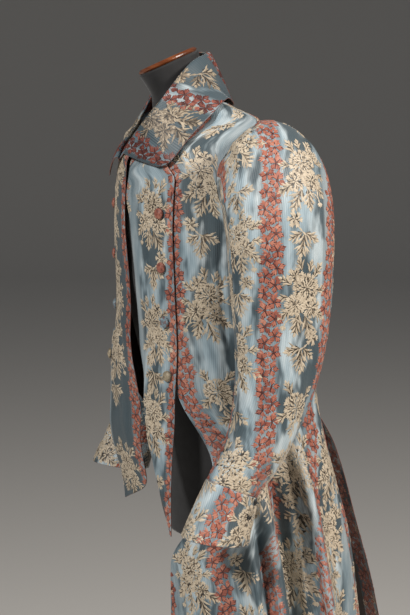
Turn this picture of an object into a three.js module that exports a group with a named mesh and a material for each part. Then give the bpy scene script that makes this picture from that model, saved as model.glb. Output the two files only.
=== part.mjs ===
// A banyan, the fitted silk house robe of an eighteenth-century gentleman, on a limbless dress form.
// Millimetres, +Z up. The wearer faces -Y and the wearer's left is +X. The stand rests on Z = 0.
import * as THREE from "three";

// ---------- driving sizes ----------
const CLOTH = 2; // wall of the silk with its lining
const SEAM = 0.4; // each piece stops this far short of a seam line, so two pieces lie 0.8 apart
const LAY = 0.5; // clearance of a piece that lies on another
const STRIP_LAY = 2.1; // a waistcoat front over the robe: room for the flats between their points
const HEM_Z = 110;
const UNDERARM_Z = 1287;
const SHOULDER_Z = 1455; // the shoulder point, at the top of the armhole
const VENT_Z = 1010; // top of the centre-back vent
const SEAM_ANGLE = 92; // shoulder and side seams, round from the centre front
const ARMHOLE_SWEEP = { front: 29, back: 33 }; // degrees that the armhole cuts into the front and the back
const FRONT_EDGE_X = 116; // the robe's front edge hangs this far from the centre
const EDGE_SWING = 68; // how far the left front edge swings back at the waist
const STRIP_EDGE_X = 122; // outer edge of a waistcoat front, which covers the robe's edge
const STRIP_CENTRE_X = 3; // its free edge at the centre front
const STRIP_TIP_Z = 806;
const BUTTONS = [
  { z: 1313, x: 100 },
  { z: 1230, x: 102 },
  { z: 1145, x: 104 },
  { z: 1060, x: 109 },
];
const BUTTON_RADIUS = 8.5;
const RIGHT_ARM = { back: 42, cuffBack: 22, drop: 14 }; // the right sleeve hangs further back and lower
const AXIS_Y = 34; // pole and foot of the stand
const FOOT = { radius: 200, height: 22 };
const POLE_RADIUS = 17;

// ---------- cross-sections of the robe ----------
// half: half width. front, side, back: where the section's front, widest point and back lie in Y.
// round: 2 is an ellipse, less draws the section to a diamond (shoulders), more squares it.
// roundRight: the same on the right half, whose chest is rounder.
const UPPER_BODY = [
  { z: 1490, half: 70, front: -62, side: 4, back: 42, round: 2.0, roundRight: 2.0 },
  { z: 1474, half: 104, front: -64, side: 22, back: 55, round: 1.5, roundRight: 1.5 },
  { z: 1456, half: 168, front: -63, side: 40, back: 80, round: 1.2, roundRight: 1.2 },
  { z: 1440, half: 176, front: -67, side: 42, back: 102, round: 1.65, roundRight: 1.4 },
  { z: 1420, half: 183, front: -79, side: 43, back: 119, round: 2.0, roundRight: 1.55 },
  { z: 1404, half: 185, front: -91, side: 44, back: 129, round: 2.2, roundRight: 1.7 },
  { z: 1385, half: 186, front: -102, side: 44, back: 136, round: 2.3, roundRight: 1.85 },
  { z: 1300, half: 184, front: -107, side: 42, back: 150, round: 2.4, roundRight: 2.0 },
  { z: 1200, half: 176, front: -100, side: 40, back: 154, round: 2.7, roundRight: 2.3 },
  { z: 1100, half: 168, front: -94, side: 40, back: 170, round: 3.0, roundRight: 2.6 },
];
// The left half of the skirt hangs straight from the waist, and the right half is drawn towards the back.
const LEFT_BODY = [
  ...UPPER_BODY,
  { z: 1000, half: 174, front: -100, side: 44, back: 196, round: 2.8 },
  { z: 895, half: 220, front: -100, side: 50, back: 218, round: 2.4 },
  { z: 764, half: 262, front: -98, side: 56, back: 246, round: 2.2 },
  { z: 641, half: 296, front: -97, side: 60, back: 256, round: 2.2 },
  { z: 400, half: 340, front: -96, side: 64, back: 292, round: 2.2 },
  { z: 110, half: 376, front: -94, side: 70, back: 318, round: 2.2 },
];
const RIGHT_BODY = [
  ...UPPER_BODY.map((row) => ({ ...row, round: row.roundRight })),
  { z: 1000, half: 180, front: -92, side: 62, back: 210, round: 2.5 },
  { z: 895, half: 194, front: -60, side: 88, back: 256, round: 2.3 },
  { z: 764, half: 214, front: -40, side: 108, back: 292, round: 2.2 },
  { z: 641, half: 236, front: -30, side: 122, back: 326, round: 2.2 },
  { z: 400, half: 266, front: -20, side: 138, back: 372, round: 2.2 },
  { z: 110, half: 296, front: -10, side: 150, back: 412, round: 2.2 },
];
// Where the skirt's panels end, round from the centre front.
const LEFT_ENDS = [
  { z: 1100, seam: 92, vent: 180 },
  { z: 1000, seam: 92, vent: 179.5 },
  { z: 895, seam: 92, vent: 173 },
  { z: 764, seam: 91, vent: 168 },
  { z: 110, seam: 90, vent: 165 },
];
const RIGHT_ENDS = [
  { z: 1100, edge: 43, seam: 93, vent: 180 },
  { z: 1000, edge: 55, seam: 112, vent: 180.5 },
  { z: 895, edge: 73, seam: 124, vent: 184 },
  { z: 764, edge: 85, seam: 128, vent: 187 },
  { z: 110, edge: 90, seam: 128, vent: 189 },
];
// Folds that hang from the waist. angle and width in degrees round the body, depth out (+) or in (-).
// The fold starts at top and has its depth from full downwards; a short one is gone again at gone.
const LEFT_FOLDS = [
  { angle: 27, width: 16, depth: -40, top: 1075, full: 900, gone: 745 },
  { angle: 52, width: 7, depth: -8, top: 900, full: 640 },
  { angle: 69, width: 4, depth: 15, top: 980, full: 720 },
  { angle: 75, width: 2.6, depth: -12, top: 970, full: 760 },
  { angle: 80, width: 4, depth: 10, top: 980, full: 740 },
  { angle: 85, width: 3.5, depth: 13, top: 1000, full: 800 },
  { angle: 92, width: 6, depth: -50, top: 1060, full: 820 },
  { angle: 102, width: 5, depth: 24, top: 1050, full: 800 },
  { angle: 117, width: 6, depth: -6, top: 1040, full: 760 },
  { angle: 131, width: 6, depth: 4, top: 1030, full: 740 },
  { angle: 145, width: 6, depth: -20, top: 1030, full: 720 },
  { angle: 159, width: 5, depth: 12, top: 1000, full: 700 },
];
const RIGHT_FOLDS = [
  { angle: 97, width: 3.6, depth: -26, top: 1030, full: 760 },
  { angle: 104, width: 3.4, depth: 18, top: 1020, full: 760 },
  { angle: 111, width: 3.6, depth: -24, top: 940, full: 720 },
  { angle: 119, width: 4.0, depth: 20, top: 900, full: 720 },
  { angle: 128, width: 4.2, depth: -28, top: 1000, full: 740 },
  { angle: 137, width: 4.2, depth: 20, top: 1040, full: 760 },
  { angle: 146, width: 4.0, depth: -24, top: 1020, full: 740 },
  { angle: 155, width: 4.2, depth: 18, top: 1000, full: 740 },
  { angle: 165, width: 4.4, depth: -26, top: 1000, full: 720 },
  { angle: 186, width: 9.0, depth: 10, top: 1008, full: 890 },
];
// The neck seam, round from the centre front.
const NECKLINE = [
  { angle: 2.5, z: 1397 },
  { angle: 10.8, z: 1408 },
  { angle: 21.6, z: 1422 },
  { angle: 34.4, z: 1440 },
  { angle: 43, z: 1460 },
  { angle: 62, z: 1476 },
  { angle: 92, z: 1483 },
  { angle: 120, z: 1484 },
  { angle: 180, z: 1484 },
];
const FRONT_NECK_ANGLE = 43; // where the robe's front edge meets the neck seam

// Free edge of a waistcoat front: it slants away below the last button.
const STRIP_EDGE = [
  { z: 1397, left: STRIP_CENTRE_X, right: STRIP_CENTRE_X },
  { z: 1340, left: STRIP_CENTRE_X, right: STRIP_CENTRE_X },
  { z: 1285, left: 20, right: STRIP_CENTRE_X },
  { z: 1110, left: 24, right: 4 },
  { z: 1050, left: 42, right: 8 },
  { z: 970, left: 58, right: 17 },
  { z: 903, left: 82, right: 28 },
  { z: 861, left: 101, right: 35 },
  { z: 846, left: 107, right: 43 },
  { z: STRIP_TIP_Z, left: 119, right: 119 },
];

// Left sleeve from the armhole to the wrist. The section turns from facing sideways (bend 0) to facing down
// (bend 90), and leans with the forearm.
// wide: half of its depth front to back. thick: half of its thickness.
const SLEEVE = [
  { x: 206, y: 37, z: 1371, bend: 14, wide: 79, thick: 84, lean: 0 },
  { x: 229, y: 36, z: 1352, bend: 32, wide: 85, thick: 78, lean: 0 },
  { x: 244, y: 36, z: 1318, bend: 55, wide: 86, thick: 66, lean: 0 },
  { x: 252, y: 35, z: 1280, bend: 78, wide: 84, thick: 60, lean: 0 },
  { x: 253, y: 36, z: 1235, bend: 90, wide: 82, thick: 58, lean: 0 },
  { x: 255, y: 36, z: 1188, bend: 90, wide: 79, thick: 56, lean: 2 },
  { x: 256, y: 34, z: 1138, bend: 90, wide: 74, thick: 53, lean: 6 },
  { x: 258, y: 27, z: 1086, bend: 90, wide: 67, thick: 50, lean: 11 },
  { x: 260, y: 14, z: 1032, bend: 90, wide: 58, thick: 45, lean: 17 },
  { x: 262, y: -8, z: 976, bend: 90, wide: 50, thick: 39, lean: 21 },
  { x: 264, y: -50, z: 915, bend: 90, wide: 42, thick: 31, lean: 24 },
];
const CUFF = [
  { x: 264, y: -50, z: 915, bend: 90, wide: 43, thick: 32, lean: 24 },
  { x: 265, y: -60, z: 889, bend: 90, wide: 47, thick: 36, lean: 20 },
  { x: 265.5, y: -70, z: 864, bend: 90, wide: 50, thick: 39, lean: 15 },
  { x: 266, y: -79, z: 840, bend: 90, wide: 53, thick: 42, lean: 10 },
];

// Collar from the centre back to each front end. seam: where the stand is sewn, round the neck. fold: its
// upper edge. edge: lower edge of the turned-down fall. The left side stands, and the right lies flatter.
const COLLAR_BACK = { seam: 180, fold: [0, 28, 1558], edge: [0, 67, 1472] };
const COLLAR = {
  left: [
    { seam: 150, fold: [25, 21, 1557], edge: [46, 57, 1475] },
    { seam: 120, fold: [54, -19, 1544], edge: [79, 39, 1483] },
    { seam: 92, fold: [65, -48, 1520], edge: [99, 20, 1487] },
    { seam: 62, fold: [73, -80, 1486], edge: [119, -17, 1463] },
    { seam: 43, fold: [66, -97, 1464], edge: [124, -54, 1431] },
    { seam: 34, fold: [50, -109, 1440], edge: [122, -81, 1399] },
    { seam: 22, fold: [28, -115, 1418], edge: [112, -91, 1388] },
    { seam: 14, fold: [8, -115, 1403], edge: [99, -98, 1385] },
  ],
  right: [
    { seam: 150, fold: [26, 22, 1556], edge: [46, 58, 1475] },
    { seam: 120, fold: [56, -7, 1540], edge: [79, 39, 1482] },
    { seam: 92, fold: [66, -27, 1512], edge: [98, 22, 1487] },
    { seam: 62, fold: [76, -36, 1484], edge: [116, -2, 1470] },
    { seam: 43, fold: [80, -48, 1458], edge: [123, -38, 1444] },
    { seam: 34, fold: [74, -66, 1433], edge: [118, -62, 1412] },
    { seam: 22, fold: [54, -92, 1411], edge: [102, -89, 1386] },
    { seam: 12, fold: [30, -112, 1393], edge: [75, -108, 1361] },
  ],
};
const FOLD_RADIUS = 3.4; // the fold is rolled, not creased
const NECK_AXIS_Y = -20;

// Dress form below the chest, its leaning neck, and the wooden cap and end plate.
const FORM_INSET = 4.8;
const FORM_LOWER = [
  { z: 1200, half: 166, front: -96, side: 38, back: 140, round: 2.3 },
  { z: 1100, half: 150, front: -76, side: 35, back: 130, round: 2.2 },
  { z: 1000, half: 146, front: -52, side: 32, back: 132, round: 2.1 },
  { z: 900, half: 140, front: -40, side: 30, back: 128, round: 2.1 },
  { z: 840, half: 132, front: -36, side: 30, back: 118, round: 2.0 },
  { z: 800, half: 118, front: -32, side: 32, back: 102, round: 2.0 },
  { z: 775, half: 98, front: -28, side: 34, back: 84, round: 2.0 },
];
const FORM_NECK = [
  { x: 0, y: -9, z: 1486, half: 54, deep: 50, tilt: 4 },
  { x: 0, y: -15, z: 1500, half: 44, deep: 48, tilt: 10 },
  { x: -2, y: -24, z: 1520, half: 42, deep: 49, tilt: 17 },
  { x: -4, y: -33, z: 1541, half: 43, deep: 52, tilt: 24 },
];
const NECK_TURN = 25; // the neck leans forward and a little to the wearer's right
const CAP = { radius: 53, thick: 7, narrow: 0.83 };
const END_PLATE = { z: 760, height: 14.5, radius: 46 };

// ---------- geometry helpers ----------
const vector = (x, y, z) => new THREE.Vector3(x, y, z);
const radians = (degrees) => THREE.MathUtils.degToRad(degrees);
const mix = THREE.MathUtils.lerp;

// Value of a column of a table at a key, on a smooth curve through the rows.
function lookup(table, column, key, keyName = "z") {
  const down = table[0][keyName] > table[1][keyName];
  const rows = down ? [...table].reverse() : table;
  const last = rows.length - 1;
  if (key <= rows[0][keyName]) return rows[0][column];
  if (key >= rows[last][keyName]) return rows[last][column];
  const i = rows.findIndex((row) => row[keyName] > key) - 1;
  const slope = (a, b) => (rows[b][column] - rows[a][column]) / (rows[b][keyName] - rows[a][keyName]);
  const here = slope(i, i + 1);
  const level = (a, b) => (a * b <= 0 ? 0 : (2 * a * b) / (a + b));
  const before = i > 0 ? level(slope(i - 1, i), here) : here;
  const after = i + 1 < last ? level(here, slope(i + 1, i + 2)) : here;
  const span = rows[i + 1][keyName] - rows[i][keyName];
  const t = (key - rows[i][keyName]) / span;
  return (
    rows[i][column] * (1 + 2 * t) * (1 - t) ** 2 +
    before * span * t * (1 - t) ** 2 +
    rows[i + 1][column] * t * t * (3 - 2 * t) +
    after * span * t * t * (t - 1)
  );
}

// 0 at a and beyond it, 1 at b and beyond it.
const ramp = (a, b, value) => THREE.MathUtils.smoothstep((value - a) / (b - a), 0, 1);

// A point of a rounded section, angle in degrees from the front, side +1 for the wearer's left.
function sectionPoint(section, side, angle, out = 0) {
  const power = 2 / section.round;
  const sine = Math.sin(radians(angle));
  const cosine = Math.cos(radians(angle));
  const reach = cosine > 0 ? section.side - section.front : section.back - section.side;
  const x = section.half * Math.sign(sine) * Math.abs(sine) ** power;
  const y = -reach * Math.sign(cosine) * Math.abs(cosine) ** power;
  const grow = 1 + out / Math.hypot(x, y);
  return vector(side * x * grow, section.side + y * grow, section.z);
}

function sectionAt(table, z) {
  const section = { z };
  for (const column of ["half", "front", "side", "back", "round"]) {
    section[column] = lookup(table, column, z);
  }
  return section;
}

function foldOut(folds, angle, z) {
  let out = 0;
  for (const fold of folds) {
    const hang = ramp(fold.top, fold.full, z) * (fold.gone ? 1 - ramp(fold.full, fold.gone, z) : 1);
    out += fold.depth * hang * Math.exp(-(((angle - fold.angle) / fold.width) ** 2));
  }
  return out;
}

const bodyTable = (side) => (side > 0 ? LEFT_BODY : RIGHT_BODY);
// Below the waist both waistcoat fronts hang as the left skirt does.
const smoothTable = (side, z) => (z > UPPER_BODY[UPPER_BODY.length - 1].z ? bodyTable(side) : LEFT_BODY);

// The robe's outer surface.
function bodyPoint(side, angle, z) {
  const folds = side > 0 ? LEFT_FOLDS : RIGHT_FOLDS;
  return sectionPoint(sectionAt(bodyTable(side), z), side, angle, foldOut(folds, angle, z));
}

// The same surface without the folds of the skirt, for what hangs in front of it.
const smoothPoint = (side, angle, z) => sectionPoint(sectionAt(smoothTable(side, z), z), side, angle);

function surfaceNormal(surface, side, angle, z) {
  const round = surface(side, angle + 2, z).sub(surface(side, angle - 2, z));
  const down = surface(side, angle, z - 3).sub(surface(side, angle, z + 3));
  return down.cross(round).multiplyScalar(side).normalize();
}

// Angle at which the section at z is x wide.
function angleAtX(side, x, z) {
  const section = sectionAt(smoothTable(side, z), z);
  return THREE.MathUtils.radToDeg(Math.asin(Math.min(1, x / section.half) ** (section.round / 2)));
}

// Fills a four-sided patch of (angle, z) between its edges, each a function of 0..1.
function patch(top, bottom, left, right, s, t) {
  const across = [0, 1].map((k) => mix(top(s)[k], bottom(s)[k], t));
  const along = [0, 1].map((k) => mix(left(t)[k], right(t)[k], s));
  const corners = [0, 1].map((k) => {
    return mix(mix(top(0)[k], top(1)[k], s), mix(bottom(0)[k], bottom(1)[k], s), t);
  });
  return [0, 1].map((k) => across[k] + along[k] - corners[k]);
}

// Pulls the rim of a grid of points in by a distance, square to the rim and to the normals.
function trim(grid, normals, distance) {
  const last = grid.length - 1;
  const end = grid[0].length - 1;
  const count = (n) => Array.from({ length: n + 1 }, (_, k) => k);
  const rims = [
    count(last).map((r) => [r, 0, r, 1]),
    count(last).map((r) => [r, end, r, end - 1]),
    count(end).map((c) => [0, c, 1, c]),
    count(end).map((c) => [last, c, last - 1, c]),
  ];
  const moves = rims.flatMap((rim) => {
    let inwards = 0;
    const across = rim.map(([r, c, nextRow, nextColumn], k) => {
      const [before, after] = [rim[Math.max(k - 1, 0)], rim[Math.min(k + 1, rim.length - 1)]];
      const along = grid[after[0]][after[1]].clone().sub(grid[before[0]][before[1]]);
      const way = along.cross(normals[r][c]).normalize();
      inwards += way.dot(grid[nextRow][nextColumn].clone().sub(grid[r][c]));
      return way;
    });
    return rim.map(([r, c], k) => [grid[r][c], across[k].multiplyScalar(Math.sign(inwards) * distance)]);
  });
  for (const [point, move] of moves) point.add(move);
  return grid;
}

// Normals of a grid of points, by its neighbours. turn is -1 when they should face the other way.
function gridNormals(grid, turn) {
  const last = grid.length - 1;
  const end = grid[0].length - 1;
  return grid.map((row, r) =>
    row.map((_, c) => {
      const down = grid[Math.min(r + 1, last)][c].clone().sub(grid[Math.max(r - 1, 0)][c]);
      const along = row[Math.min(c + 1, end)].clone().sub(row[Math.max(c - 1, 0)]);
      return down.cross(along).multiplyScalar(turn).normalize();
    }),
  );
}

function meshOf(name, material, points, faces) {
  let volume = 0;
  for (const [a, b, c] of faces) volume += points[a].dot(points[b].clone().cross(points[c]));
  const index = volume < 0 ? faces.flatMap(([a, b, c]) => [a, c, b]) : faces.flat();
  const geometry = new THREE.BufferGeometry().setFromPoints(points);
  geometry.setIndex(index);
  geometry.computeVertexNormals();
  const mesh = new THREE.Mesh(geometry, material);
  mesh.name = name;
  return mesh;
}

// A sheet of cloth: a grid of outer points and the same points moved in by the wall.
function clothWall(name, material, outer, normals) {
  const rows = outer.length;
  const columns = outer[0].length;
  const inner = outer.map((row, r) => row.map((p, c) => p.clone().addScaledVector(normals[r][c], -CLOTH)));
  const points = [...outer.flat(), ...inner.flat()];
  const back = rows * columns;
  const at = (r, c) => r * columns + c;
  const faces = [];
  const quad = (a, b, c, d) => faces.push([a, b, c], [a, c, d]);
  for (let r = 0; r < rows - 1; r += 1) {
    for (let c = 0; c < columns - 1; c += 1) {
      quad(at(r, c), at(r + 1, c), at(r + 1, c + 1), at(r, c + 1));
      quad(back + at(r, c), back + at(r, c + 1), back + at(r + 1, c + 1), back + at(r + 1, c));
    }
  }
  const rim = [];
  for (let c = 0; c < columns - 1; c += 1) rim.push(at(0, c));
  for (let r = 0; r < rows - 1; r += 1) rim.push(at(r, columns - 1));
  for (let c = columns - 1; c > 0; c -= 1) rim.push(at(rows - 1, c));
  for (let r = rows - 1; r > 0; r -= 1) rim.push(at(r, 0));
  rim.forEach((from, k) => {
    const to = rim[(k + 1) % rim.length];
    quad(from, to, back + to, back + from);
  });
  return meshOf(name, material, points, faces);
}

// A solid through closed rings of equal count, closed at both ends.
function ringSolid(name, material, rings) {
  const count = rings[0].length;
  const points = rings.flat();
  const faces = [];
  for (let r = 0; r < rings.length - 1; r += 1) {
    for (let c = 0; c < count; c += 1) {
      const next = (c + 1) % count;
      const [a, b] = [r * count + c, r * count + next];
      faces.push([a, a + count, b + count], [a, b + count, b]);
    }
  }
  for (const [ring, turned] of [[0, false], [rings.length - 1, true]]) {
    const centre = rings[ring].reduce((sum, p) => sum.add(p), vector(0, 0, 0)).divideScalar(count);
    const hub = points.push(centre) - 1;
    for (let c = 0; c < count; c += 1) {
      const [a, b] = [ring * count + c, ring * count + ((c + 1) % count)];
      faces.push(turned ? [hub, b, a] : [hub, a, b]);
    }
  }
  return meshOf(name, material, points, faces);
}

// ---------- materials ----------
function finish(color, roughness, metalness = 0) {
  return new THREE.MeshStandardMaterial({ color, roughness, metalness });
}
const silk = () => finish(0x93a9bb, 0.45);
const coralSilk = () => finish(0xb4543a, 0.55);
const formCloth = () => finish(0x24241f, 0.9);
const varnishedWood = () => finish(0x7a3c1a, 0.3);

const part = new THREE.Group();
const SIDES = [
  { side: 1, word: "left", ends: LEFT_ENDS },
  { side: -1, word: "right", ends: RIGHT_ENDS },
];

// ---------- fronts and backs ----------
const UPPER_ROWS = 7;
const SKIRT_HEIGHTS = [
  1287, 1230, 1170, 1110, 1060, 1015, 970, 920, 870, 815, 755, 680, 590, 480, 360, 235, HEM_Z,
];
const necklineZ = (angle) => lookup(NECKLINE, "z", angle, "angle");
const armhole = (sweep) => (t) => [
  SEAM_ANGLE + sweep * Math.sin(Math.PI * t),
  mix(UNDERARM_Z, SHOULDER_Z, (1 + Math.cos(Math.PI * t)) / 2),
];

// Angle of the robe's front edge: near plumb on the left, and swept back below the waist on the right.
function frontEdgeAngle({ side, ends }, z) {
  const swing = side > 0 ? EDGE_SWING * ramp(1062, 900, z) * (1 - ramp(872, 760, z)) : 0;
  const plumb = angleAtX(side, FRONT_EDGE_X + swing, z);
  if (side > 0 || z > 1100) return plumb;
  return lookup(ends, "edge", z);
}

// The top of a front: along the neck seam, then out along the shoulder.
function frontTop(s) {
  const neck = 5 / 13; // eight columns are left for the shoulder, as on the back
  if (s > neck) return [SEAM_ANGLE, mix(necklineZ(SEAM_ANGLE), SHOULDER_Z, (s - neck) / (1 - neck))];
  const angle = mix(FRONT_NECK_ANGLE, SEAM_ANGLE, s / neck);
  return [angle, necklineZ(angle)];
}

function backTop(s) {
  const neck = 0.5;
  if (s < neck) return [SEAM_ANGLE, mix(SHOULDER_Z, necklineZ(SEAM_ANGLE), s / neck)];
  const angle = mix(SEAM_ANGLE, 180, (s - neck) / (1 - neck));
  return [angle, necklineZ(angle)];
}

// The front edge slants in under the collar, from x at the chest to the neck seam.
const frontUpperEdge = (side, x, lowest) => (t) => {
  const z = mix(necklineZ(FRONT_NECK_ANGLE), lowest, t);
  const slant = ramp(1395, necklineZ(FRONT_NECK_ANGLE), z);
  const inwards = 30 * ramp(1364, 1406, z);
  return [mix(angleAtX(side, x - inwards, z), FRONT_NECK_ANGLE, slant), z];
};

function bodyPanel(name, where, columns, upper, lower) {
  const grid = [];
  const place = (angleAndZ) => {
    const [angle, z] = angleAndZ;
    return { point: bodyPoint(where.side, angle, z), normal: surfaceNormal(bodyPoint, where.side, angle, z) };
  };
  for (let r = 0; r < UPPER_ROWS; r += 1) {
    grid.push(Array.from({ length: columns + 1 }, (_, c) => place(upper(c / columns, r / UPPER_ROWS))));
  }
  for (const z of SKIRT_HEIGHTS) {
    const [from, to] = lower(z);
    grid.push(Array.from({ length: columns + 1 }, (_, c) => place([mix(from, to, c / columns), z])));
  }
  const normals = grid.map((row) => row.map((cell) => cell.normal));
  const points = trim(grid.map((row) => row.map((cell) => cell.point)), normals, SEAM);
  part.add(clothWall(name, silk(), points, normals));
}

for (const where of SIDES) {
  const seam = (z) => (z > 1100 ? SEAM_ANGLE : lookup(where.ends, "seam", z));
  const vent = (z) => (z > VENT_Z ? 180 : lookup(where.ends, "vent", z));
  const edge = (z) => frontEdgeAngle(where, z);
  const frontBottom = (s) => [mix(edge(UNDERARM_Z), SEAM_ANGLE, s), UNDERARM_Z];
  const backBottom = (s) => [mix(SEAM_ANGLE, 180, s), UNDERARM_Z];
  const upperEdge = frontUpperEdge(where.side, FRONT_EDGE_X, UNDERARM_Z);
  const centreBack = (t) => [180, mix(necklineZ(180), UNDERARM_Z, t)];
  bodyPanel(
    `front_${where.word}`, where, 13,
    (s, t) => patch(frontTop, frontBottom, upperEdge, armhole(-ARMHOLE_SWEEP.front), s, t),
    (z) => [edge(z), seam(z)],
  );
  bodyPanel(
    `back_${where.word}`, where, 16,
    (s, t) => patch(backTop, backBottom, armhole(ARMHOLE_SWEEP.back), centreBack, s, t),
    (z) => [seam(z), vent(z)],
  );
}

// ---------- waistcoat fronts and their covered buttons ----------
const STRIP_HEIGHTS = [
  1340, 1313, 1272, 1230, 1187, 1145, 1102, 1060, 1015, 970, 925, 893, 861, 845, STRIP_TIP_Z,
];
const STRIP_COLUMNS = 6;
const STRIP_UPPER_ROWS = 6;

// Points of the strip: moved out from the robe by its wall. Below the chest it hangs free.
function stripPlace(side, angle, z) {
  const normal = surfaceNormal(smoothPoint, side, angle, z);
  const point = smoothPoint(side, angle, z).addScaledVector(normal, CLOTH + STRIP_LAY);
  if (side < 0) {
    const inwards = 1 - Math.min(1, Math.abs(point.x) / STRIP_EDGE_X);
    point.y += 30 * ramp(960, STRIP_TIP_Z, z) - 8 * ramp(1180, 1060, z);
    point.y += 38 * inwards * ramp(1120, 960, z);
  }
  return { point, normal };
}

for (const { side, word } of SIDES) {
  const top = (s) => {
    const angle = mix(NECKLINE[0].angle, FRONT_NECK_ANGLE, s);
    return [angle, necklineZ(angle)];
  };
  const highest = STRIP_HEIGHTS[0];
  const bottom = (s) => [angleAtX(side, mix(STRIP_CENTRE_X, STRIP_EDGE_X, s), highest), highest];
  const centre = (t) => [mix(NECKLINE[0].angle, bottom(0)[0], t), mix(NECKLINE[0].z, highest, t)];
  const outer = frontUpperEdge(side, STRIP_EDGE_X, highest);
  const grid = [];
  const each = (row) => {
    grid.push(Array.from({ length: STRIP_COLUMNS + 1 }, (_, c) => row(c / STRIP_COLUMNS)));
  };
  for (let r = 0; r < STRIP_UPPER_ROWS; r += 1) {
    each((s) => stripPlace(side, ...patch(top, bottom, centre, outer, s, r / STRIP_UPPER_ROWS)));
  }
  for (const z of STRIP_HEIGHTS) {
    const free = lookup(STRIP_EDGE, word, z);
    each((s) => stripPlace(side, angleAtX(side, mix(free, STRIP_EDGE_X, s), z), z));
  }
  const points = grid.map((row) => row.map((cell) => cell.point));
  const normals = grid.map((row) => row.map((cell) => cell.normal));
  part.add(clothWall(`waistcoat_${word}`, silk(), points, normals));

  const dome = [
    [0, 0], [BUTTON_RADIUS - 1, 0], [BUTTON_RADIUS, 1.6], [BUTTON_RADIUS - 1.5, 4.6], [3.6, 6.6], [0, 7],
  ];
  BUTTONS.forEach(({ x, z }, k) => {
    const { point, normal } = stripPlace(side, angleAtX(side, x, z), z);
    const profile = dome.map(([r, h]) => new THREE.Vector2(r, h));
    const button = new THREE.Mesh(new THREE.LatheGeometry(profile, 12), coralSilk());
    button.name = `button_${word}_${k + 1}`;
    button.quaternion.setFromUnitVectors(vector(0, 1, 0), normal);
    button.position.copy(point).addScaledVector(normal, LAY + 0.1);
    part.add(button);
  });
}

// ---------- sleeves and cuffs ----------
const RING = 16; // columns round a sleeve

// A point of a sleeve section. turn 0 is at the back, 90 at the top or outside, 180 at the front.
function sleevePoint(side, row, turn) {
  const across = Math.cos(radians(turn)) * row.wide;
  const out = Math.sin(radians(turn)) * row.thick;
  const lean = radians(row.lean);
  const bend = radians(row.bend);
  const back = RIGHT_ARM.back * ramp(1390, 1318, row.z) + RIGHT_ARM.cuffBack * ramp(1100, 900, row.z);
  const drop = RIGHT_ARM.drop * ramp(1250, 950, row.z);
  return vector(
    side * (row.x + out * Math.sin(bend)),
    row.y + (side > 0 ? 0 : back) + across * Math.cos(lean),
    row.z - (side > 0 ? 0 : drop) - across * Math.sin(lean) + out * Math.cos(bend),
  );
}

// The armhole as seen from the sleeve: pulled in from the panels' edge and started just outside it.
function armholePoint(side, turn) {
  const centre = vector(side * 170, 34, (SHOULDER_Z + UNDERARM_Z) / 2);
  const z = mix(UNDERARM_Z, SHOULDER_Z, (1 + Math.sin(radians(turn))) / 2);
  const cosine = Math.cos(radians(turn));
  const sweep = cosine > 0 ? ARMHOLE_SWEEP.back : ARMHOLE_SWEEP.front;
  const point = bodyPoint(side, SEAM_ANGLE + sweep * cosine, z);
  const inwards = centre.sub(point).setX(0).normalize();
  return point.addScaledVector(inwards, 1.4).add(vector(side > 0 ? 1.3 : -1.4, 0, 0));
}

function tubeGrid(side, rows, armholeFirst) {
  const turns = Array.from({ length: RING + 1 }, (_, c) => (c / RING) * 360);
  const grid = rows.map((row) => turns.map((turn) => sleevePoint(side, row, turn)));
  if (armholeFirst) grid.unshift(turns.map((turn) => armholePoint(side, turn)));
  const wrapped = grid.map((row) => [row[RING - 1], ...row, row[1]]);
  const normals = gridNormals(wrapped, -side).map((row) => row.slice(1, -1));
  return { grid, normals };
}

for (const { side, word } of SIDES) {
  const tube = tubeGrid(side, SLEEVE, true);
  for (const [piece, from, to] of [["upper", 0, RING / 2], ["under", RING / 2, RING]]) {
    const cut = (rows) => rows.map((row) => row.slice(from, to + 1).map((p) => p.clone()));
    const normals = cut(tube.normals);
    part.add(clothWall(`sleeve_${piece}_${word}`, silk(), trim(cut(tube.grid), normals, SEAM), normals));
  }
  const cuff = tubeGrid(side, CUFF, false);
  part.add(clothWall(`cuff_${word}`, silk(), trim(cuff.grid, cuff.normals, SEAM), cuff.normals));
}

// ---------- collar ----------
function collarRow(side, station) {
  const fold = vector(side * station.fold[0], station.fold[1], station.fold[2]);
  const edge = vector(side * station.edge[0], station.edge[1], station.edge[2]);
  const z = necklineZ(station.seam);
  const seam = bodyPoint(side, station.seam, z);
  const lift = mix(CLOTH + STRIP_LAY + 2.7, LAY, ramp(FRONT_NECK_ANGLE, 92, station.seam)) + 0.2;
  seam.addScaledVector(surfaceNormal(bodyPoint, side, station.seam, z), lift);
  const fall = edge.clone().sub(fold).normalize();
  const round = vector(-fold.y + NECK_AXIS_Y, fold.x, 0).normalize();
  const out = round.clone().cross(fall).normalize();
  if (out.dot(vector(fold.x, fold.y - NECK_AXIS_Y, 20)) < 0) out.negate();
  const roll = (turn) =>
    fold
      .clone()
      .addScaledVector(fall, FOLD_RADIUS * (1 - Math.cos(radians(turn))))
      .addScaledVector(out, FOLD_RADIUS * Math.sin(radians(turn)));
  const inner = roll(-90);
  const outer = roll(90);
  return [
    seam,
    seam.clone().lerp(inner, 0.5),
    inner,
    roll(-45),
    roll(0),
    roll(45),
    outer,
    outer.clone().lerp(edge, 0.34).addScaledVector(out, 2),
    outer.clone().lerp(edge, 0.67).addScaledVector(out, 2),
    edge,
  ];
}

const collarLeft = [COLLAR_BACK, ...COLLAR.left].map((station) => collarRow(1, station));
const collarRight = COLLAR.right.map((station) => collarRow(-1, station));
const collarGrid = [...collarRight.reverse(), ...collarLeft];
part.add(clothWall("collar", silk(), collarGrid, gridNormals(collarGrid, 1)));

// ---------- dress form and stand ----------
const FORM_RING = 32;
const ringAngles = Array.from({ length: FORM_RING }, (_, c) => (c / FORM_RING) * 360);

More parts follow.
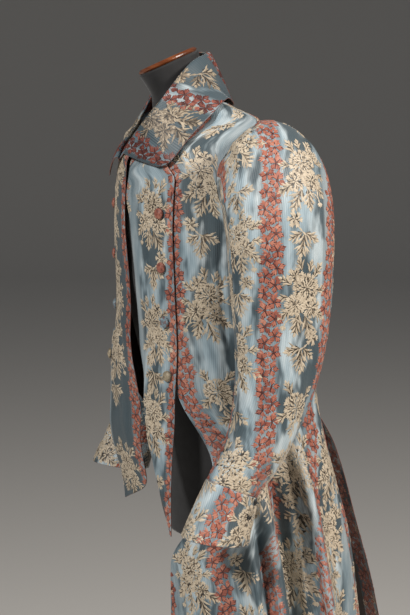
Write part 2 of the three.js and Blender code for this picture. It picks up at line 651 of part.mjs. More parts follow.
// A closed ring of the form just inside the robe, or from its own table below the chest.
function formRing(z) {
  const own = sectionAt(FORM_LOWER, z);
  const share = ramp(1300, 1200, z);
  return ringAngles.map((angle) => {
    const side = angle > 180 ? -1 : 1;
    const inside = sectionAt(bodyTable(side), z + FORM_INSET);
    const section = { z };
    section.round = mix(inside.round, own.round, share);
    section.side = mix(inside.side, own.side, share);
    section.half = mix(inside.half - FORM_INSET, own.half, share);
    section.front = mix(inside.front + FORM_INSET, own.front, share);
    section.back = mix(inside.back - FORM_INSET, own.back, share);
    return sectionPoint(section, side, side > 0 ? angle : 360 - angle);
  });
}

function neckRing({ x, y, z, half, deep, tilt }) {
  const axis = vector(Math.cos(radians(NECK_TURN)), -Math.sin(radians(NECK_TURN)), 0);
  return ringAngles.map((angle) =>
    vector(half * Math.sin(radians(angle)), -deep * Math.cos(radians(angle)), 0)
      .applyAxisAngle(axis, radians(tilt))
      .add(vector(x, y, z)),
  );
}

const FORM_HEIGHTS = [
  775, 786, 800, 818, 840, 870, 900, 950, 1000, 1050, 1100, 1150, 1200, 1240, 1287, 1330, 1371,
  1400, 1422, 1438, 1450, 1459, 1466, 1473, 1480,
];
const formRings = [...FORM_HEIGHTS.map(formRing), ...FORM_NECK.map(neckRing)];
part.add(ringSolid("form_torso", formCloth(), formRings));

const neckTop = FORM_NECK[FORM_NECK.length - 1];
const capAxis = vector(0, 0, 1).applyAxisAngle(
  vector(Math.cos(radians(NECK_TURN)), -Math.sin(radians(NECK_TURN)), 0),
  radians(neckTop.tilt),
);
const capProfile = [[0, 0], [CAP.radius - 2, 0], [CAP.radius, 2], [CAP.radius, CAP.thick - 3],
  [CAP.radius - 3, CAP.thick], [0, CAP.thick]];
const cap = new THREE.Mesh(
  new THREE.LatheGeometry(capProfile.map(([r, h]) => new THREE.Vector2(r, h)), 48),
  varnishedWood(),
);
cap.name = "form_cap";
cap.scale.set(CAP.narrow, 1, 1);
cap.quaternion.setFromUnitVectors(vector(0, 1, 0), capAxis);
cap.position.set(neckTop.x, neckTop.y, neckTop.z).addScaledVector(capAxis, LAY);
part.add(cap);

function turned(name, profile, segments, z) {
  const mesh = new THREE.Mesh(
    new THREE.LatheGeometry(profile.map(([r, h]) => new THREE.Vector2(r, h)), segments),
    varnishedWood(),
  );
  mesh.name = name;
  mesh.rotation.x = Math.PI / 2;
  mesh.position.set(0, AXIS_Y, z);
  part.add(mesh);
}
const plate = END_PLATE;
const plateProfile = [
  [0, 0], [plate.radius - 6, 0], [plate.radius, 6], [plate.radius, plate.height], [0, plate.height],
];
turned("form_end_plate", plateProfile, 40, plate.z);
const poleBottom = FOOT.height + LAY;
const poleHeight = plate.z - LAY - poleBottom;
turned("stand_pole", [[0, 0], [POLE_RADIUS, 0], [POLE_RADIUS, poleHeight], [0, poleHeight]], 24, poleBottom);
const footProfile = [
  [0, 0], [FOOT.radius - 3, 0], [FOOT.radius, 3], [FOOT.radius, 12], [FOOT.radius - 14, 18],
  [60, FOOT.height], [0, FOOT.height],
];
turned("stand_foot", footProfile, 48, 0);

// The origin lies on the floor under the middle of the whole.
const bounds = new THREE.Box3().setFromObject(part);
part.position.set(-(bounds.min.x + bounds.max.x) / 2, -(bounds.min.y + bounds.max.y) / 2, 0);

export default part;
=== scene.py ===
# A banyan, an eighteenth-century gentleman's house robe of brocaded silk, on a limbless dress form.
# Sizes in the tables are millimetres. The wearer faces -Y and the wearer's left is +X.
import math
import random

import bpy
import numpy as np
from mathutils import Matrix, Vector


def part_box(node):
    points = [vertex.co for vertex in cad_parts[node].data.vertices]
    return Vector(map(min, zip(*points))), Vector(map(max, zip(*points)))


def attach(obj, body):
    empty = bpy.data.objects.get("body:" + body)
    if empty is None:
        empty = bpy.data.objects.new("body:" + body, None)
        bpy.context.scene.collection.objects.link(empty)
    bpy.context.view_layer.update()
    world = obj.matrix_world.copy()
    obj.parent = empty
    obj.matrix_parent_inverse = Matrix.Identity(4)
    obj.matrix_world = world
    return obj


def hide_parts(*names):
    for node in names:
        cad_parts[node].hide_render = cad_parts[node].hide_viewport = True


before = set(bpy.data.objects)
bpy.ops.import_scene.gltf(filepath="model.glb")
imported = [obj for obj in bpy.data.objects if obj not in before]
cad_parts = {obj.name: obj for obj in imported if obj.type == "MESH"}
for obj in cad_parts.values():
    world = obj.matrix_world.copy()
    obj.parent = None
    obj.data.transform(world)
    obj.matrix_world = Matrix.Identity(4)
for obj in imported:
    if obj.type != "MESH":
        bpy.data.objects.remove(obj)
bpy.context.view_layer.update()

# ---------- where the garment stands ----------
FOOT_LOW, FOOT_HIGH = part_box("stand_foot")
STAND_BACK = 34  # the stand's axis is this far behind the middle of the shoulders
ORIGIN = np.array([(FOOT_LOW.x + FOOT_HIGH.x) / 2, (FOOT_LOW.y + FOOT_HIGH.y) / 2 - STAND_BACK / 1000, 0.0])


def metres(points):
    return np.asarray(points, float) / 1000 + ORIGIN


# ---------- camera ----------
CAMERA_AT = (2300, -1044, 1536)
CAMERA_TURN = math.radians(65)  # round from the wearer's front towards the wearer's left
CAMERA_TILT = math.radians(8.75)
SENSOR_HEIGHT, FOCAL_LENGTH = 36, 91.7268
camera_data = bpy.data.cameras.new("camera")
camera = bpy.data.objects.new("camera", camera_data)
bpy.context.scene.collection.objects.link(camera)
camera_data.sensor_fit = "VERTICAL"
camera_data.sensor_height = SENSOR_HEIGHT
camera_data.lens = FOCAL_LENGTH
camera_data.clip_end = 200
camera.location = metres(CAMERA_AT)
camera.rotation_euler = (math.pi / 2 - CAMERA_TILT, 0, CAMERA_TURN)
bpy.context.scene.camera = camera

# ---------- cross-sections of the robe ----------
CLOTH = 2.0
STRIP_LAY = 2.1
HEM_Z = 110
UNDERARM_Z = 1287
WAIST_Z = 1100
BODY_MIDDLE_Y = 60
SHOULDER_Z = 1455
VENT_Z = 1010
SEAM_ANGLE = 92
ARMHOLE_FRONT = 29
ARMHOLE_BACK = 33
ARMHOLE_CENTRE = (170, 34)
FRONT_EDGE_X = 116
EDGE_SWING = 68  # how far the left front edge swings back at the waist
STRIP_EDGE_X = 122
STRIP_CENTRE_X = 3
STRIP_TIP_Z = 806
FRONT_NECK_ANGLE = 43
BUTTONS = ((1313, 100), (1230, 102), (1145, 104), (1060, 109))  # height, distance from the centre


def table(columns, *rows):
    rows = sorted(rows)
    return {name: np.array(values, float) for name, values in zip(columns.split(), zip(*rows))}


BODY_COLUMNS = "z half front side back round"
UPPER_BODY = (
    # z, half width, front, widest, back, roundness left and right
    (1490, 70, -62, 4, 42, 2.0, 2.0),
    (1474, 104, -64, 22, 55, 1.5, 1.5),
    (1456, 168, -63, 40, 80, 1.2, 1.2),
    (1440, 176, -67, 42, 102, 1.65, 1.4),
    (1420, 183, -79, 43, 119, 2.0, 1.55),
    (1404, 185, -91, 44, 129, 2.2, 1.7),
    (1385, 186, -102, 44, 136, 2.3, 1.85),
    (1300, 184, -107, 42, 150, 2.4, 2.0),
    (1200, 176, -100, 40, 154, 2.7, 2.3),
    (1100, 168, -94, 40, 170, 3.0, 2.6),
)
LEFT_BODY = table(
    BODY_COLUMNS,
    *[row[:6] for row in UPPER_BODY],
    (1000, 174, -100, 44, 196, 2.8),
    (895, 220, -100, 50, 218, 2.4),
    (764, 262, -98, 56, 246, 2.2),
    (641, 296, -97, 60, 256, 2.2),
    (400, 340, -96, 64, 292, 2.2),
    (110, 376, -94, 70, 318, 2.2),
)
RIGHT_BODY = table(
    BODY_COLUMNS,
    *[row[:5] + (row[6],) for row in UPPER_BODY],
    (1000, 180, -92, 62, 210, 2.5),
    (895, 194, -60, 88, 256, 2.3),
    (764, 214, -40, 108, 292, 2.2),
    (641, 236, -30, 122, 326, 2.2),
    (400, 266, -20, 138, 372, 2.2),
    (110, 296, -10, 150, 412, 2.2),
)
ENDS_COLUMNS = "z edge seam vent"
LEFT_ENDS = table(ENDS_COLUMNS, (1100, 43, 92, 180), (1000, 43, 92, 179.5), (895, 43, 92, 173), (764, 43, 91, 168),
                  (110, 43, 90, 165))
RIGHT_ENDS = table(ENDS_COLUMNS, (1100, 43, 93, 180), (1000, 55, 112, 180.5), (895, 73, 124, 184),
                   (764, 85, 128, 187), (110, 90, 128, 189))
# Folds that hang from the waist: angle, width, depth out, where the fold starts, is full and, if short, is gone.
LEFT_FOLDS = (
    (27, 16, -40, 1075, 900, 745),
    (52, 7, -8, 900, 640, 0),
    (69, 4, 15, 980, 720, 0),
    (75, 2.6, -12, 970, 760, 0),
    (80, 4, 10, 980, 740, 0),
    (85, 3.5, 13, 1000, 800, 0),
    (92, 6, -50, 1060, 820, 0),
    (102, 5, 24, 1050, 800, 0),
    (117, 6, -6, 1040, 760, 0),
    (131, 6, 4, 1030, 740, 0),
    (145, 6, -20, 1030, 720, 0),
    (159, 5, 12, 1000, 700, 0),
)
RIGHT_FOLDS = (
    (97, 3.6, -26, 1030, 760, 0),
    (104, 3.4, 18, 1020, 760, 0),
    (111, 3.6, -24, 940, 720, 0),
    (119, 4.0, 20, 900, 720, 0),
    (128, 4.2, -28, 1000, 740, 0),
    (137, 4.2, 20, 1040, 760, 0),
    (146, 4.0, -24, 1020, 740, 0),
    (155, 4.2, 18, 1000, 740, 0),
    (165, 4.4, -26, 1000, 720, 0),
    (186, 9.0, 10, 1008, 890, 0),
)
NECKLINE = table("angle z", (2.5, 1397), (10.8, 1408), (21.6, 1422), (34.4, 1440), (43, 1460), (62, 1476), (92, 1483),
                 (120, 1484), (180, 1484))
STRIP_EDGE = table("z left right", (1397, 3, 3), (1340, 3, 3), (1285, 20, 3), (1110, 24, 4), (1050, 42, 8),
                   (970, 58, 17), (903, 82, 28), (861, 101, 35), (846, 107, 43), (806, 119, 119))
# Rings of the sleeve: x, y, z, slope, half width front to back, half thickness, lean.
SLEEVE = (
    (206, 37, 1371, 14, 79, 84, 0),
    (229, 36, 1352, 32, 85, 78, 0),
    (244, 36, 1318, 55, 86, 66, 0),
    (252, 35, 1280, 78, 84, 60, 0),
    (253, 36, 1235, 90, 82, 58, 0),
    (255, 36, 1188, 90, 79, 56, 2),
    (256, 34, 1138, 90, 74, 53, 6),
    (258, 27, 1086, 90, 67, 50, 11),
    (260, 14, 1032, 90, 58, 45, 17),
    (262, -8, 976, 90, 50, 39, 21),
    (264, -50, 915, 90, 42, 31, 24),
)
CUFF = (
    (264, -50, 915, 90, 43, 32, 24),
    (265, -60, 889, 90, 47, 36, 20),
    (265.5, -70, 864, 90, 50, 39, 15),
    (266, -79, 840, 90, 53, 42, 10),
)
ARM_BACK, ARM_CUFF_BACK, ARM_DROP = 42, 22, 14  # the right sleeve hangs further back and lower
# Collar stations: where the stand is sewn round the neck, its rolled upper edge, the lower edge of the fall.
COLLAR_BACK = (180, (0, 28, 1558), (0, 67, 1472))
COLLAR_LEFT = (
    (150, (25, 21, 1557), (46, 57, 1475)),
    (120, (54, -19, 1544), (79, 39, 1483)),
    (92, (65, -48, 1520), (99, 20, 1487)),
    (62, (73, -80, 1486), (119, -17, 1463)),
    (43, (66, -97, 1464), (124, -54, 1431)),
    (34, (50, -109, 1440), (122, -81, 1399)),
    (22, (28, -115, 1418), (112, -91, 1388)),
    (14, (8, -115, 1403), (99, -98, 1385)),
)
COLLAR_RIGHT = (
    (150, (26, 22, 1556), (46, 58, 1475)),
    (120, (56, -7, 1540), (79, 39, 1482)),
    (92, (66, -27, 1512), (98, 22, 1487)),
    (62, (76, -36, 1484), (116, -2, 1470)),
    (43, (80, -48, 1458), (123, -38, 1444)),
    (34, (74, -66, 1433), (118, -62, 1412)),
    (22, (54, -92, 1411), (102, -89, 1386)),
    (12, (30, -112, 1393), (75, -108, 1361)),
)
FOLD_RADIUS = 3.4
NECK_AXIS_Y = -20
# How finely each piece is laid out: columns, rows above the level where it runs plain, rows below.
BACK_GRID, FRONT_GRID, STRIP_GRID = (66, 24, 150), (58, 24, 150), (26, 20, 110)
SLEEVE_ROWS, CUFF_ROWS = 104, 22
COLLAR_LENGTHWISE, COLLAR_ACROSS, COLLAR_FACE = 130, 60, 48  # the last is a line down the middle of the fall


# ---------- geometry ----------
def smooth_run(rows, tangents, i, step, t):
    """The smooth curve from row i to row i + 1, at the share t of the step between them."""
    return (
        rows[i] * (1 + 2 * t) * (1 - t) ** 2
        + tangents[i] * step * t * (1 - t) ** 2
        + rows[i + 1] * t * t * (3 - 2 * t)
        + tangents[i + 1] * step * t * t * (t - 1)
    )


def lookup(source, column, key, key_name="z"):
    """Value of a column at a key, on a smooth curve through the rows."""
    xs, ys = source[key_name], source[column]
    key = np.asarray(key, float)
    steps = np.diff(xs)
    slopes = np.diff(ys) / steps
    product = slopes[:-1] * slopes[1:]
    total = np.where(product > 0, slopes[:-1] + slopes[1:], 1)
    level = np.where(product > 0, 2 * product / total, 0)
    tangents = np.concatenate([slopes[:1], level, slopes[-1:]])
    i = np.clip(np.searchsorted(xs, key, side="right") - 1, 0, len(steps) - 1)
    return smooth_run(ys, tangents, i, steps[i], np.clip((key - xs[i]) / steps[i], 0, 1))


def ramp(a, b, value):
    """0 at a and beyond it, 1 at b and beyond it."""
    t = np.clip((np.asarray(value, float) - a) / (b - a), 0, 1)
    return t * t * (3 - 2 * t)


def mix(a, b, t):
    return a + (b - a) * t


def unit(v):
    return v / np.maximum(np.linalg.norm(v, axis=-1, keepdims=True), 1e-9)


def run(steps):
    """How far along each point lies, from the steps between them."""
    return np.concatenate([[0], np.cumsum(steps)])


def section(source, z):
    return [lookup(source, column, z) for column in ("half", "front", "side", "back", "round")]


def body_section(side, z, strip=False):
    """half, front, side, back and round of the robe at z. Below the waist a strip hangs as the left skirt does."""
    if side > 0:
        return section(LEFT_BODY, z)
    if not strip:
        return section(RIGHT_BODY, z)
    return [np.where(np.asarray(z) > WAIST_Z, r, l) for l, r in zip(section(LEFT_BODY, z), section(RIGHT_BODY, z))]


def section_point(shape, side, angle, z, out=0.0):
    half, front, middle, back, power = shape
    sine = np.sin(np.radians(angle))
    cosine = np.cos(np.radians(angle))
    reach = np.where(cosine > 0, middle - front, back - middle)
    x = half * np.sign(sine) * np.abs(sine) ** (2 / power)
    y = -reach * np.sign(cosine) * np.abs(cosine) ** (2 / power)
    grow = 1 + out / np.maximum(np.hypot(x, y), 1e-6)
    return np.stack([side * x * grow, middle + y * grow, z + 0 * x], axis=-1)


def fold_out(folds, angle, z):
    out = 0.0
    for at, width, depth, top, full, gone in folds:
        hang = ramp(top, full, z) * ((1 - ramp(full, gone, z)) if gone else 1)
        out = out + depth * hang * np.exp(-(((angle - at) / width) ** 2))
    return out


def body_point(side, angle, z):
    folds = LEFT_FOLDS if side > 0 else RIGHT_FOLDS
    return section_point(body_section(side, z), side, angle, z, fold_out(folds, angle, z))


def smooth_point(side, angle, z):
    return section_point(body_section(side, z, strip=True), side, angle, z)


def surface_normal(surface, side, angle, z):
    across = surface(side, angle + 2, z) - surface(side, angle - 2, z)
    down = surface(side, angle, z - 3) - surface(side, angle, z + 3)
    return unit(np.cross(down, across) * side)


def angle_at_x(side, x, z):
    half, _, _, _, power = body_section(side, z, strip=True)
    return np.degrees(np.arcsin(np.minimum(1, x / half) ** (power / 2)))


def neckline_z(angle):
    return lookup(NECKLINE, "z", angle, "angle")


def patch(top, bottom, left, right, s, t):
    """Fills a four-sided patch of (angle, z) between its edges, each a function of 0..1."""
    corner = {(i, j): np.array((top, bottom)[j](float(i))) for i in (0, 1) for j in (0, 1)}
    found = []
    for k in (0, 1):
        across = mix(top(s)[k], bottom(s)[k], t)
        along = mix(left(t)[k], right(t)[k], s)
        corners = mix(mix(corner[0, 0][k], corner[1, 0][k], s), mix(corner[0, 1][k], corner[1, 1][k], s), t)
        found.append(across + along - corners)
    return found


def normals_of(grid, like=None):
    """Normals of a grid of points, turned to agree with like where that is given."""
    down = np.gradient(grid, axis=0)
    along = np.gradient(grid, axis=1)
    found = unit(np.cross(down, along))
    if like is not None and np.sum(found * like) < 0:
        found = -found
    return found


def front_top(s):
    neck = 0.4
    onto_neck = s <= neck
    angle = np.where(onto_neck, mix(FRONT_NECK_ANGLE, SEAM_ANGLE, s / neck), SEAM_ANGLE)
    z = np.where(onto_neck, neckline_z(angle), mix(neckline_z(SEAM_ANGLE), SHOULDER_Z, (s - neck) / (1 - neck)))
    return angle, z


def back_top(s):
    neck = 0.5
    on_shoulder = s < neck
    angle = np.where(on_shoulder, SEAM_ANGLE, mix(SEAM_ANGLE, 180, (s - neck) / (1 - neck)))
    z = np.where(on_shoulder, mix(SHOULDER_Z, neckline_z(SEAM_ANGLE), s / neck), neckline_z(angle))
    return angle, z


def front_upper_edge(side, x, lowest):
    def edge(t):
        z = mix(neckline_z(FRONT_NECK_ANGLE), lowest, t)
        slant = ramp(1395, neckline_z(FRONT_NECK_ANGLE), z)
        inwards = 30 * ramp(1364, 1406, z)
        return mix(angle_at_x(side, x - inwards, z), FRONT_NECK_ANGLE, slant), z
    return edge


def armhole(sweep):
    def edge(t):
        return SEAM_ANGLE + sweep * np.sin(math.pi * t), mix(UNDERARM_Z, SHOULDER_Z, (1 + np.cos(math.pi * t)) / 2)
    return edge


def front_edge_angle(side, z):
    swing = EDGE_SWING * ramp(1062, 900, z) * (1 - ramp(872, 760, z)) if side > 0 else 0
    plumb = angle_at_x(side, FRONT_EDGE_X + swing, z)
    if side > 0:
        return plumb
    return np.where(np.asarray(z) > WAIST_Z, plumb, lookup(RIGHT_ENDS, "edge", z))


def panel(edges, layout, middle_z, low_z, lower_angle):
    """(angle, z) over a panel: a patch between four edges down to middle_z, then level rows down to low_z at the
    angles that lower_angle gives for a height and a share across. Also the number of rows in the patch."""
    columns, upper_rows, lower_rows = layout
    s = np.linspace(0, 1, columns + 1)[None, :]
    t = np.linspace(0, 1, upper_rows + 1)[:-1, None]
    angle, z = np.broadcast_arrays(*patch(*edges, s, t))
    lower_z = mix(middle_z, low_z, np.linspace(0, 1, lower_rows + 1))[:, None]
    return np.vstack([angle, lower_angle(lower_z, s)]), np.vstack([z, lower_z + 0 * s]), upper_rows


def panel_angles(side, back):
    """(angle, z) over a front or back, from the neck to the hem."""
    ends = LEFT_ENDS if side > 0 else RIGHT_ENDS

    def seam(z):
        return np.where(z > WAIST_Z, SEAM_ANGLE, lookup(ends, "seam", z))

    def level(first, last):
        return lambda s: (mix(first, last, s), UNDERARM_Z + 0 * s)

    if back:
        edges = (back_top, level(SEAM_ANGLE, 180), armhole(ARMHOLE_BACK),
                 lambda t: (180 + 0 * t, mix(neckline_z(180), UNDERARM_Z, t)))
        return panel(edges, BACK_GRID, UNDERARM_Z, HEM_Z,
                     lambda z, s: mix(seam(z), np.where(z > VENT_Z, 180, lookup(ends, "vent", z)), s))
    edges = (front_top, level(front_edge_angle(side, UNDERARM_Z), SEAM_ANGLE),
             front_upper_edge(side, FRONT_EDGE_X, UNDERARM_Z), armhole(-ARMHOLE_FRONT))
    return panel(edges, FRONT_GRID, UNDERARM_Z, HEM_Z, lambda z, s: mix(front_edge_angle(side, z), seam(z), s))


def sleeve_ring(side, row, turns):
    x, y, z, bend, wide, thick, lean = row
    across = np.cos(np.radians(turns)) * wide
    out = np.sin(np.radians(turns)) * thick
    lean, bend = math.radians(lean), math.radians(bend)
    drop = 0
    if side < 0:
        y = y + ARM_BACK * ramp(1390, 1318, z) + ARM_CUFF_BACK * ramp(1100, 900, z)
        drop = ARM_DROP * ramp(1250, 950, z)
    return np.stack([
        side * (x + out * math.sin(bend)),
        y + across * math.cos(lean),
        z - drop - across * math.sin(lean) + out * math.cos(bend),
    ], axis=-1)


def armhole_ring(side, turns):
    centre = np.array([side * ARMHOLE_CENTRE[0], ARMHOLE_CENTRE[1], (SHOULDER_Z + UNDERARM_Z) / 2])
    z = mix(UNDERARM_Z, SHOULDER_Z, (1 + np.sin(np.radians(turns))) / 2)
    cosine = np.cos(np.radians(turns))
    sweep = np.where(cosine > 0, ARMHOLE_BACK, ARMHOLE_FRONT)
    point = body_point(side, SEAM_ANGLE + sweep * cosine, z)
    inwards = centre - point
    inwards[:, 0] = 0
    return point + unit(inwards) * 0.4 + np.array([side * 0.3, 0, 0])


def smooth_stack(rows, count):
    """Rows of points made into count + 1 rows on smooth curves through them, evenly spaced along the piece."""
    rows = np.asarray(rows, float)
    gaps = np.linalg.norm(np.diff(rows, axis=0), axis=-1).mean(axis=1)
    keys, lengths = run(np.sqrt(gaps)), run(gaps)
    wanted = np.interp(np.linspace(0, lengths[-1], count + 1), lengths, keys)
    steps = np.diff(keys)[:, None, None]
    slopes = np.diff(rows, axis=0) / steps
    inner = (slopes[:-1] * steps[1:] + slopes[1:] * steps[:-1]) / (steps[:-1] + steps[1:])
    tangents = np.concatenate([slopes[:1], inner, slopes[-1:]])
    i = np.clip(np.searchsorted(keys, wanted, side="right") - 1, 0, len(steps) - 1)
    return smooth_run(rows, tangents, i, steps[i], (wanted - keys[i])[:, None, None] / steps[i])


def collar_station(side, station):
    seam_angle, fold, edge = station
    fold, edge = np.array([fold, edge], float) * (side, 1, 1)
    z = neckline_z(seam_angle)
    lift = mix(CLOTH + STRIP_LAY + 2.7, 0.5, ramp(FRONT_NECK_ANGLE, SEAM_ANGLE, seam_angle)) + 0.2
    seam = body_point(side, seam_angle, z) + surface_normal(body_point, side, seam_angle, z) * lift
    fall = unit(edge - fold)
    round_neck = unit(np.array([-fold[1] + NECK_AXIS_Y, fold[0], 0.0]))
    out = unit(np.cross(round_neck, fall))
    if out @ np.array([fold[0], fold[1] - NECK_AXIS_Y, 20]) < 0:
        out = -out

    def roll(turn):
        turn = math.radians(turn)
        return fold + fall * FOLD_RADIUS * (1 - math.cos(turn)) + out * FOLD_RADIUS * math.sin(turn)

    inner, outer = roll(-90), roll(90)
    return [seam, mix(seam, inner, 0.5), inner, roll(-45), roll(0), roll(45), outer,
            mix(outer, edge, 0.34) + out * 2, mix(outer, edge, 0.67) + out * 2, edge]


# ---------- cloth pieces as grids ----------
def soft_folds(grid, normal, s, t, creases):
    """Troughs and ridges laid into a piece, as listed. Each is a line from (s, t) to (s, t), a half width and a
    depth, in millimetres of cloth, fading out at both ends."""
    for s0, t0, s1, t1, width, depth in creases:
        along = np.array([s1 - s0, t1 - t0], float)
        length = np.linalg.norm(along)
        along /= length
        share = ((s - s0) * along[0] + (t - t0) * along[1]) / length
        off = -(s - s0) * along[1] + (t - t0) * along[0]
        bow = 0.04 * length * np.sin(math.pi * np.clip(share, 0, 1))
        fade = ramp(-0.15, 0.25, share) * ramp(1.15, 0.75, share)
        grid = grid + normal * (depth * fade * np.exp(-(((off - bow) / width) ** 2)))[..., None]
    return grid


def flat_lengths(grid, from_column, from_row=0, along_columns=slice(None)):
    """How far each point lies across (s) and along (t) the cloth, in millimetres, from a column and a row."""
    s = np.array([run(steps) for steps in np.linalg.norm(np.diff(grid, axis=1), axis=-1)])
    t = run(np.linalg.norm(np.diff(grid[:, along_columns], axis=0), axis=-1).mean(axis=1))
    return s - s[:, from_column:from_column + 1], t - t[from_row]


def body_panel(side, back):
    """Each piece is a grid of points with its normals, and how far each point lies across and along the cloth."""
    angle, z, upper_rows = panel_angles(side, back)
    grid = body_point(side, angle, z)
    outwards = (grid - (0, BODY_MIDDLE_Y, 0)) * (1, 1, 0)
    normal = normals_of(grid, outwards)
    s, t = flat_lengths(grid, angle.shape[1] - 1 if back else 0, upper_rows)
    return grid, normal, s, t


def strip_place(side, angle, z):
    """Where a waistcoat front lies over the robe, and which way it faces."""
    normal = surface_normal(smooth_point, side, angle, z)
    point = smooth_point(side, angle, z) + normal * (CLOTH + STRIP_LAY)
    if side < 0:  # the right one swings back towards its tip, its free edge most
        inwards = 1 - np.minimum(1, np.abs(point[..., 0]) / STRIP_EDGE_X)
        sway = 30 * ramp(960, STRIP_TIP_Z, z) - 8 * ramp(1180, 1060, z) + 38 * inwards * ramp(1120, 960, z)
        point = point + np.stack([0 * sway, sway, 0 * sway], axis=-1)
    return point, normal


def waistcoat_front(side):
    middle_z = 1340
    first_angle, first_z = NECKLINE["angle"][0], NECKLINE["z"][0]

    def top(s):
        angle = mix(first_angle, FRONT_NECK_ANGLE, s)
        return angle, neckline_z(angle)

    def bottom(s):
        return angle_at_x(side, mix(STRIP_CENTRE_X, STRIP_EDGE_X, s), middle_z), middle_z + 0 * s

    def centre(t):
        return mix(first_angle, bottom(0.0)[0], t), mix(first_z, middle_z, t)

    def below(z, s):
        free = lookup(STRIP_EDGE, "left" if side > 0 else "right", z)
        return angle_at_x(side, mix(free, STRIP_EDGE_X, s), z)

    edges = (top, bottom, centre, front_upper_edge(side, STRIP_EDGE_X, middle_z))
    angle, z, upper_rows = panel(edges, STRIP_GRID, middle_z, STRIP_TIP_Z, below)
    grid, normal = strip_place(side, angle, z)
    return grid, normals_of(grid, normal), *flat_lengths(grid, angle.shape[1] - 1, upper_rows)


QUARTER = 22  # columns of a sleeve's grid in a quarter of a turn, from the back of the arm over the top
SLEEVE_TURNS = np.linspace(0, 360, 4 * QUARTER + 1)


def tube_normals(grid):
    """Normals of a grid that closes on itself across."""
    wrapped = np.concatenate([grid[:, -2:-1], grid, grid[:, 1:2]], axis=1)
    middle = wrapped.mean(axis=1, keepdims=True)
    return normals_of(wrapped, wrapped - middle)[:, 1:-1]


def sleeve_piece(side, under):
    rings = [armhole_ring(side, SLEEVE_TURNS)] + [sleeve_ring(side, row, SLEEVE_TURNS) for row in SLEEVE]
    grid = smooth_stack(rings, SLEEVE_ROWS)
    first = 2 * QUARTER if under else 0
    middle = first + QUARTER
    half = slice(first, first + 2 * QUARTER + 1)
    s, t = flat_lengths(grid, middle, 0, slice(middle - 4, middle + 4) if under else slice(middle + 2, middle + 10))
    return grid[:, half], tube_normals(grid)[:, half], s[:, half], t


def cuff_piece(side):
    grid = smooth_stack([sleeve_ring(side, row, SLEEVE_TURNS) for row in CUFF], CUFF_ROWS)
    return grid, tube_normals(grid), *flat_lengths(grid, QUARTER)


def collar_piece():
    left = [collar_station(1, station) for station in (COLLAR_BACK,) + COLLAR_LEFT]
    right = [collar_station(-1, station) for station in COLLAR_RIGHT]
    grid = smooth_stack(right[::-1] + left, COLLAR_LENGTHWISE)
    grid = np.swapaxes(smooth_stack(np.swapaxes(grid, 0, 1), COLLAR_ACROSS), 0, 1)
    normal = normals_of(grid)
    middle = COLLAR_LENGTHWISE // 2
    if normal[middle, COLLAR_FACE] @ np.array([0, 1, 0.3]) < 0:  # the fall's face looks away from the neck
        normal = -normal
    # Across the cloth runs along the collar, and along the cloth runs from the rolled edge down the fall.
    s = run(np.linalg.norm(np.diff(grid[:, COLLAR_FACE], axis=0), axis=-1))
    t = run(np.linalg.norm(np.diff(grid, axis=1), axis=-1).mean(axis=0))
    grid, normal = np.swapaxes(grid, 0, 1), np.swapaxes(normal, 0, 1)
    return grid, normal, np.broadcast_to((s - s[middle])[None, :], grid.shape[:2]), t


# ---------- brocade: flowers and leaves of silk floss ----------
# The pattern's own sizes: from garland to garland across, and from bouquet to bouquet along.
REPEAT_ACROSS = 104
REPEAT_ALONG = 184
HALF_DROP = 0.46
GARLAND_STEP = 12.6  # from one small flower to the next
GARLAND_REACH, MOTIF_REACH, MOTIF_LENGTH = 22, 40, 60  # beyond these, nothing of one falls on a piece
CREAM, CORAL, BLACK = 0, 1, 2
LIT = 0.8  # the usual tone of a cream stroke
rng = random.Random(41)


def petal(x, y, angle, length, width, height=0.55, tone=0.6, floss=CREAM):
    """A stroke of floss that runs from (x, y) at an angle. width is half the stroke's, tone 0 dark to 1 light."""
    return (x, y, angle, length, width, height, tone, floss)


def moved(petals, x, y, turn=0.0, mirror=False):
    """The petals mirrored, if so asked, then turned, then moved."""
    cosine, sine = math.cos(turn), math.sin(turn)
    found = []
    for px, py, angle, *rest in petals:
        if mirror:
            px, angle = -px, math.pi - angle
        found.append((x + px * cosine - py * sine, y + px * sine + py * cosine, angle + turn, *rest))
    return found


def outline_and_shade_underlay(radius, squash):
    """A dark underlay that shows between the strokes of a flower, in short overlapping lobes: partly the pattern's
    dark outlining, partly painted shade between the raised strokes.
    """
    found = []
    for start, reach, count in ((0, 0.6, 6), (0.42, 0.62, 11)):
        for i in range(count):
            a = 2 * math.pi * (i + rng.uniform(-0.2, 0.2)) / count
            shrink = 1 / math.hypot(math.cos(a), math.sin(a) / squash)
            at = radius * start * shrink
            found.append(petal(at * math.cos(a), at * math.sin(a), a, radius * reach * shrink, radius * 0.27, 0.1,
                               rng.uniform(0, 0.12)))
    return found


def bloom(radius, squash=0.9):
    """A full round flower: rings of short curled strokes, with feathered lobes outside."""
    found = outline_and_shade_underlay(radius, squash)
    rings = max(2, round(radius / 4.2))
    for k in range(rings):
        reach = radius * (0.01 + 0.86 * k / rings)
        count = int(5 + 0.98 * k * radius / rings + 2.4 * k)
        swirl = 0.55 if k % 2 else -0.45
        for i in range(count):
            a = 2 * math.pi * (i + 0.5 * (k % 2) + rng.uniform(-0.15, 0.15)) / count
            shade = rng.uniform(-0.24, 0.18) - (0.6 if rng.random() < 0.1 else 0)
            found.append(petal(reach * math.cos(a), squash * reach * math.sin(a), a + swirl * rng.uniform(0.4, 1.6),
                               6.6, 1.55, 0.85, LIT + shade))
    lobes = max(6, round(radius * 0.62))
    for i in range(lobes):
        a = 2 * math.pi * (i + rng.uniform(-0.15, 0.15)) / lobes
        for turn in (-0.62, -0.05, 0.52):
            found.append(petal(radius * 0.8 * math.cos(a), squash * radius * 0.8 * math.sin(a), a + turn,
                               6.6, 1.5, 0.7, LIT + rng.uniform(-0.16, 0.18)))
    return found


